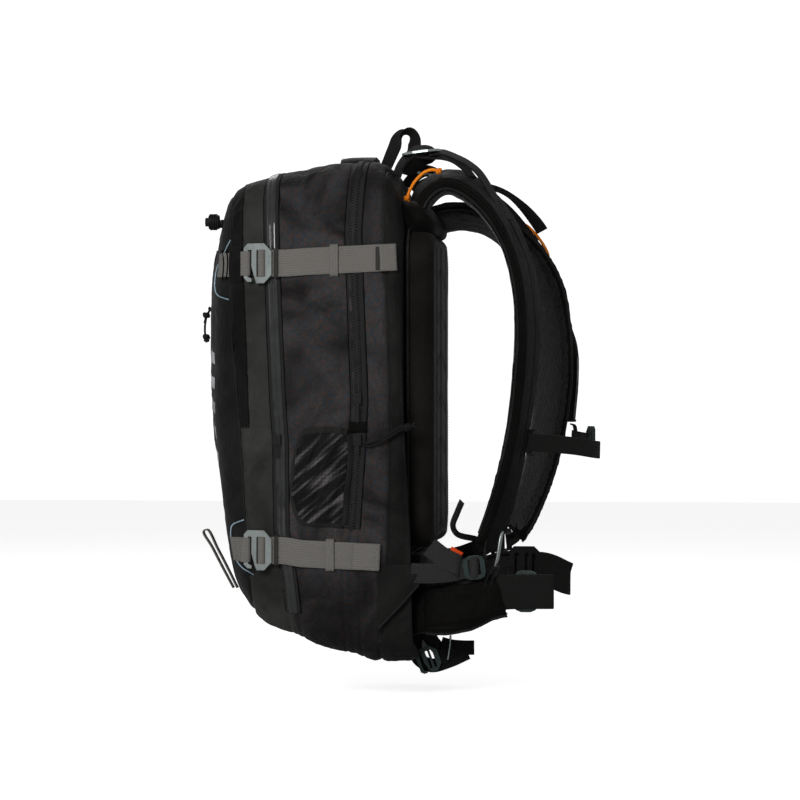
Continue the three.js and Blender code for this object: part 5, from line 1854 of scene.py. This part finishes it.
def build_lifters(side):
    """One load lifter: its anchor, its webbing over the buckle, and its sewn end."""
    data = LIFTERS[side]
    sign = SIDES[side]
    body = f"shoulder_strap_{side}"
    lean = sign * math.radians(32)
    webbing(f"lifter_anchor_{side}", data["anchor"], LIFTER_ANCHOR_WIDTH, 1.5, X, BLACK_WEB, "pack",
            "black_webbing", tilt=lean)
    for label in ("main", "return"):
        strip = webbing(f"lifter_{label}_{side}", data[label], LIFTER_WIDTH, 1.7, X, BLACK_WEB,
                        slot="black_webbing", tilt=sign * STRAP_TILT)
        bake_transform(strip)
    # The sewn end on the strap, with a row of stitches along each edge, and the keeper above it.
    route = curve_through(data["main"], 2.5)
    across, outward = frames(route, X, sign * STRAP_TILT)
    for label, s in EDGES:
        row = route[-18:] + across[-18:] * s * 10 + outward[-18:] * 1.0
        stitches(f"lifter_stitches_{label}_{side}", row, outward[-18:], body, GREY_THREAD)
    keeper = len(route) - 24
    loop = route[keeper] + across[keeper] * np.array([-15, -14, -10, 0, 10, 14, 15])[:, None]
    loop += outward[keeper] * np.array([-4, -0.5, 2.0, 2.4, 2.0, -0.5, -4])[:, None]
    tangent = route[keeper + 1] - route[keeper]
    webbing(f"lifter_keeper_{side}", loop, 9, 1.3, tangent, BLACK_WEB, body, "black_webbing", spacing=1.5)


STRIPS = {side: build_strap(side) for side in SIDES}
build_mark(STRIPS["right"])
build_sleeve(Strip(SLEEVE_ROUTE, X, -STRAP_TILT))
for side_name in SIDES:
    build_lifters(side_name)


def build_lifter_tail():
    """The left lifter's free tail, which stands off the strap to a cut end."""
    tail = [(-62, 12, 254), (-64, 34, 252), (-67, 56, 248), (-70, 72, 241), (-74, 90, 226), (-78, 106, 207),
            (-80, 112, 198)]
    route = curve_through(tail, 2.5)
    lean = np.radians(18 + 37 * smoothstep(np.linspace(0, 1, len(route)), 0.45, 1))
    across, outward = frames(route, X, -lean)
    section = strip_section(LIFTER_TAIL_WIDTH, 1.6)
    piece = sweep("lifter_tail_left", route, section, across, outward, BLACK_WEB, slot="black_webbing")
    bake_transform(piece)


build_lifter_tail()

# ---------------------------------------------------------------- lower webbing and stabilisers

# The ladder locks: (u, n) are millimetres along the plate and out of it, from its centre.
LOCK_ALONG = unit(np.array([-0.12, 0.98, 0.14]))
LOCK_OUT = unit(X - LOCK_ALONG * LOCK_ALONG[0])
LOCK_CENTRES = {"right": np.array([136, 47, -184]), "left": np.array([135, 60, -169])}
LACED = [(-13, -3.2), (-6.5, -2.6), (-4.3, 0), (-1.5, 2.6), (1.5, 2.6), (4.3, 0), (2.5, -3.4), (-5, -4.6)]
# Webbing from the pack to each lock, its free tail, and the strap's webbing into the lock's far bar.
ANCHORS = {
    "right": [(143.6, -22, -190), (143.4, -2, -190.5), (140.5, 14, -189.5), (138, 26, -187.8)],
    "left": [(143.6, -22, -190), (143.2, 6, -187.4), (140.6, 28, -180), (137.6, 42, -173.5)],
}
TAILS = {
    "right": [(139, 29, -181), (141.5, 13, -172.5), (141, -2, -161)],
    "left": [(131, 30, -166), (129.5, 8, -160), (129, 3, -150), (129, 8, -135), (128, 14, -121)],
}
STRAP_ENDS = {
    "right": [(109, 60, -152), (113, 58, -164), (120, 57.5, -175), (127.5, 58, -181)],
    "left": [(105, 82, -144), (107, 78, -154), (114, 73, -162), (125, 72, -166)],
}


def lock_point(side, u, n):
    return LOCK_CENTRES[side] + LOCK_ALONG * u + LOCK_OUT * n


def build_lower(side):
    """The stabiliser gusset, the webbing laced through the lock and its free tail."""
    sign = SIDES[side]
    # The stabiliser: a tapered sheet from the body's side to the webbing, with rows of stitches.
    s = np.linspace(0, 1, 26)[:, None]
    r = np.linspace(0, 1, 22)[None]
    y = -60 + 48 * s + 0 * r
    top = -181
    bottom = -254 + 52 * s
    z = top * (1 - r) + bottom * r
    x = 143.9 + 1.2 * np.sin(np.pi * s) * np.sin(np.pi * r) + 0.35 * np.sin(9 * r + 4 * s)
    x = x - 2.2 * (1 - s) ** 3 * r
    grid = np.stack(np.broadcast_arrays(sign * x, y, z), -1)
    gusset = sheet_mesh(f"stabiliser_{side}", grid, np.broadcast_to(X * sign, grid.shape), 1.7, REAR_BAND,
                        "pack", "pack_fabric")
    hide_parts(f"lower_anchor_{side}")
    hem = [(sign * 144.2, a, b) for a, b in ((-58, -251), (-36, -228), (-14, -203.5))]
    piping = cord_mesh(f"stabiliser_piping_{side}", curve_through(hem, 2), 1.2, BINDING, "pack",
                       "pack_fabric")
    for k, (a, b) in enumerate([((-56, -186), (-14, -184)), ((-56, -193), (-14, -198)),
                                ((-56, -232), (-20, -199)), ((-54, -243), (-17, -207))]):
        row = np.linspace((sign * 145.4, *a), (sign * 145.2, *b), 30)
        stitches(f"stabiliser_stitches_{side}_{k}", row, np.tile(X * sign, (30, 1)), "pack")

    laced = ANCHORS[side] + [lock_point(side, u, n) for u, n in LACED]
    webbing(f"lower_webbing_{side}", on_side(side, laced), LOWER_WIDTH, 1.6, Z, RIBBED_WEB, "pack",
            "black_webbing")
    tail = [lock_point(side, -5, -4.6), lock_point(side, -14, -5.2)] + TAILS[side]
    hint, tilt = (Z, 0.0) if side == "right" else (X, math.radians(20))
    webbing(f"lower_tail_{side}", on_side(side, tail), LOWER_WIDTH, 1.6, hint, RIBBED_WEB, "pack",
            "black_webbing", tilt=tilt)
    points = STRAP_ENDS[side] + [lock_point(side, 12.8, -3.2), lock_point(side, 6.8, -2.4)]
    points = on_side(side, points)
    route = curve_through(points, 2.2)
    turned = smoothstep(np.linspace(0, 1, len(route)), 0.1, 0.7)[:, None]
    across, outward = frames(route, unit(X * (1 - turned) + Z * turned))
    section = strip_section(STRAP_END_WIDTH, 1.6)
    strap = sweep(f"strap_end_webbing_{side}", route, section, across, outward, BLACK_WEB,
                  slot="black_webbing")
    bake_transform(strap)


for side_name in SIDES:
    build_lower(side_name)


def build_tab():
    """The small red pull sewn to the near webbing."""
    s = np.linspace(0, 1, 12)[:, None]
    r = np.linspace(-1, 1, 10)[None]
    y = 20 + 13 * s + 2 * r
    z = -165 - 6 * s + 4 * r * (1 - 0.3 * s)
    x = 133 + 1.6 * np.sin(np.pi * s) + 0.3 * r
    grid = np.stack(np.broadcast_arrays(x, y, z), -1)
    sheet_mesh("orange_tab", grid, np.broadcast_to(X, grid.shape), 1.4, RED_TAB, "pack", "orange_cord")


build_tab()


def build_stabiliser_ring():
    """The wire ring on the near hip wing, and the short webbing that holds it."""
    ring = [(116, 77, -146), (131, 77, -146), (134, 75.5, -152), (134, 71.5, -176), (131, 69, -183),
            (116, 69, -183), (113, 71.5, -176), (113, 75.5, -152)]
    route = curve_through(ring + ring[:1], 1.5)
    cord_mesh("stabiliser_ring", route, 1.4, SATIN, "hip_wing_right", "satin_metal")
    loop = [(123, 58, -206), (124, 62, -194), (124, 67, -185), (124, 70, -180.5), (124, 73, -184),
            (123, 68, -196), (122, 64, -206)]
    webbing("stabiliser_ring_loop", loop, 18, 1.5, X, BLACK_WEB, "hip_wing_right", "black_webbing")


build_stabiliser_ring()

# ---------------------------------------------------------------- sternum strap


def build_sternum():
    """Both halves of the sternum strap, with their sliders."""
    right = [(84, 104, -47), (66, 128, -49), (42, 154, -52), (16, 175, -56), (2, 181, -57)]
    left = [(-76, 147, -42), (-68, 152, -43), (-58, 158, -44), (-48, 162, -44.5), (-42, 164.6, -45),
            (-38, 165.5, -45)]
    for name, points in (("right", right), ("left", left)):
        body = f"sternum_strap_{name}"
        piece = webbing(f"{body}_webbing", points, STERNUM_WIDTHS[name], 1.8, Z, BLACK_WEB, body,
                        "black_webbing")
        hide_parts(body)
        route = curve_through(points, 2.5)
        across, outward = frames(route, Z)
        for k in (2, 4, 6):
            bar_tack(f"{body}_tack_{k}", route, across, outward, k, 5, 6, 1.0, body)
        # The slider that runs on the strap's rail.
        k = 1
        loop = route[k] + across[k] * np.array([-14, -13, -8, 0, 8, 13, 14])[:, None]
        loop += outward[k] * np.array([-3, 0.4, 2.4, 2.8, 2.4, 0.4, -3])[:, None]
        webbing(f"{body}_slider", loop, 8, 2.0, route[k + 1] - route[k], BLACK_PLASTIC, body,
                "black_plastic", spacing=1.5)


build_sternum()

# ---------------------------------------------------------------- hip belt

WING_ROUTES = {
    "right": [(115, -12, -232), (121, 8, -231), (125, 36, -227), (124, 58, -220.5), (122, 78, -214.5)],
    "left": [(-115, -12, -228), (-121, 8, -226), (-125, 40, -215), (-124, 74, -204), (-118, 108, -198)],
}
HIP_WEB_ROUTES = {
    "right": [(126, 66, -214), (124, 80, -212), (120.5, 100, -211.5), (118, 122, -211.5),
              (116.5, 131, -211.5), (114.5, 133.5, -211.5), (112.6, 130, -211.5), (112, 121, -211.5),
              (110.4, 114, -211.5), (109.2, 108, -211.5)],
    "left": [(-124, 86, -200), (-119, 104, -200), (-116, 120, -204), (-114.5, 138, -210),
             (-112.5, 143, -212), (-110, 141, -211), (-108, 134, -208), (-106.5, 122, -202),
             (-104.4, 113, -199), (-103, 105, -198)],
}


def wing_width(t):
    return 50 + 7 * np.sin(np.pi * min(1, t * 1.3)) - 5 * t


def build_wing(side):
    """One hip wing with its root, its binding and its webbing."""
    sign = SIDES[side]
    body = f"hip_wing_{side}"
    strip = Strip(WING_ROUTES[side], Z)
    pad = padded_strip(f"{body}_pad", strip, wing_width, lambda t: 13.4, STRAP_CLOTH, 1.8)

    def depth(points, _):
        _, u, _ = strip.local(points)
        carved = -1.4 * groove(np.abs(u) - (wing_width(0.5) / 2 - 8), 1.5)
        return carved + (rumple(points, 22, 8.3) - 0.8) * 1.6

    carve(pad, depth)
    line_faces(pad, lambda centres: centres[:, 0] * sign < 0.1205)
    finish_pad(pad, body, body)
    edge_piping(body, strip, pad, lambda t: wing_width(t) + 1.4, 2.0, BINDING, body, "strap_fabric")
    # The cloth that carries the wing's root into the pack.
    start = np.array(WING_ROUTES[side][0], float)
    points = np.array([start + (-sign * 8, -19, -1), start + (-sign * 4, -9, -0.5), start,
                       WING_ROUTES[side][1]])
    route = curve_through(points, 3)
    across, outward = frames(route, Z)
    sections = np.array([strip_section(width, 11, columns=13) for width in np.linspace(58, 48, len(route))])
    root = sweep(f"{body}_root", route, sections, across, outward, STRAP_CLOTH, slot="strap_fabric")
    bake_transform(root)
    webbing(f"{body}_webbing", HIP_WEB_ROUTES[side], HIP_WIDTH, 2.2, Z, BLACK_WEB, body, "black_webbing")
    route = curve_through(HIP_WEB_ROUTES[side], 2.5)
    across, outward = frames(route, Z)
    for k in (3, 5, 9):
        bar_tack(f"{body}_tack_{k}", route, across, outward, k, 16, 15, 1.2, body)


for side_name in SIDES:
    build_wing(side_name)

# ---------------------------------------------------------------- leg strap


def build_leg_strap():
    """The leg strap, stowed under the pack, with its tail and wire slider."""
    route = curve_through([(30, -24, -262), (30, -28, -280), (30, -24, -294), (30, -10, -302),
                           (30, 10, -297), (30, 32, -287)], 2)
    across, outward = frames(route, X)
    section = strip_section(LEG_WIDTH, 1.9)[:, ::-1]
    strap = sweep("leg_strap_webbing", route, section, across, outward, BLACK_WEB, "leg_strap",
                  "black_webbing")
    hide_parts("leg_strap")
    second = curve_through([(32.4, -14, -264), (32.4, -8, -274), (32.4, 2, -286), (32.4, 12, -296)], 2)
    across, outward = frames(second, X)
    sweep("leg_strap_return", second, section, across, outward, BLACK_WEB, "leg_strap", "black_webbing")
    # The flat tail past the slider, and the wire slider that holds the layers together.
    tail = [(33.5, 2, -277), (34.4, 14, -280), (34.6, 28, -281), (34.4, 40, -281)]
    webbing("leg_strap_tail", tail, LEG_WIDTH + 0.5, 1.8, Z, BLACK_WEB, "leg_strap", "black_webbing")
    ring = [(36.4, 13, -268), (36.4, 12, -281), (36.4, 10, -294), (31.5, 10, -294), (31.5, 12, -281),
            (31.5, 13, -268), (36.4, 13, -268)]
    cord_mesh("leg_strap_slider", resample(ring, 60), 1.1, SATIN, "leg_strap", "satin_metal")


build_leg_strap()

# ---------------------------------------------------------------- inner pieces and CAD finishes


def build_airbag():
    """The airbag's folded bundle, pleated along its length."""
    half = [(118, -82, -3), (119, -82, 80), (117, -82, 160), (104, -82, 214), (62, -82, 240)]
    points = half + [(0, -82, 244)] + [(-x, y, z) for x, y, z in half[::-1]]
    route = curve_through(points, 3)
    across, outward = frames(route, Y)
    angle = np.linspace(0, 2 * np.pi, 64, endpoint=False)
    pleats = 1 + 0.06 * np.cos(14 * angle)
    shape = np.stack([22 * np.sign(np.cos(angle)) * np.abs(np.cos(angle)) ** 0.6 * pleats,
                      12 * np.sign(np.sin(angle)) * np.abs(np.sin(angle)) ** 0.6 * pleats], 1)
    bundle = sweep("airbag_bundle", route, shape, across, outward, AIRBAG, "pack", "airbag_nylon")
    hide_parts("airbag_folded")


def finish_node(name, material, bevel=0.35):
    """Gives a CAD node its material and softened edges."""
    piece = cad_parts[name]
    piece = piece if hasattr(piece, "data") else bpy.data.objects[name]
    piece.data.materials.clear()
    piece.data.materials.append(material)
    if bevel:
        edge = piece.modifiers.new("bevel", "BEVEL")
        edge.width = bevel * MM
        edge.segments = 2
        edge.limit_method = "ANGLE"
        edge.angle_limit = math.radians(28)
        edge.harden_normals = True


AIRBAG = smooth_fabric("airbag_ripstop", (0.85, 0.2, 0.02), weave=0.004)
STAY_METAL = metal("mill_aluminium", (0.6, 0.61, 0.62))
STEEL = metal("turned_steel", (0.5, 0.5, 0.51), roughness=(0.2, 0.35))
RUBBER = plastic("silicone_rubber", (0.7, 0.16, 0.02), roughness=(0.6, 0.75))
SLEEVE = plastic("shrink_sleeve", (0.2, 0.22, 0.27))
ORANGE_PLASTIC = plastic("moulded_orange", (0.85, 0.18, 0.015))
BOARD = circuit_board()
NODE_FINISHES = [
    (SATIN, 0.7, ["upper_ski_hook_right", "upper_ski_hook_left", "lower_ski_hook_right",
                  "lower_ski_hook_left"]),
    (SATIN, 0.6, ["lifter_buckle_right", "lifter_buckle_left"]),
    (DARK_METAL, 0.6, ["ladder_lock_right", "ladder_lock_left", "sternum_hook", "hip_loop_right",
                       "leg_strap_hook"]),
    (BLACK_METAL, 0.5, ["main_zip_slider", "airbag_zip_slider", "side_zip_slider", "hip_hook_left"]),
    (BLACK_PLASTIC, 0.5, ["cord_lock_barrel", "cord_lock_button", "frame_sheet", "blower_housing_back",
                          "blower_housing_cover", "impeller", "outlet_duct"]),
    (BLACK_CORD, 0, ["trigger_cable"]),
    (STAY_METAL, 0.4, ["frame_stay_right", "frame_stay_left"]),
    (STEEL, 0.4, ["blower_motor"]),
    (RUBBER, 0.2, ["valve_flap"]),
    (SLEEVE, 0.5, ["supercapacitor_pack", "battery_pack"]),
    (ORANGE_PLASTIC, 0.5, ["power_switch", "trigger_handle"]),
    (BOARD, 0.2, ["control_board"]),
]
build_airbag()
for node_material, node_bevel, node_names in NODE_FINISHES:
    for node_name in node_names:
        finish_node(node_name, node_material, node_bevel)
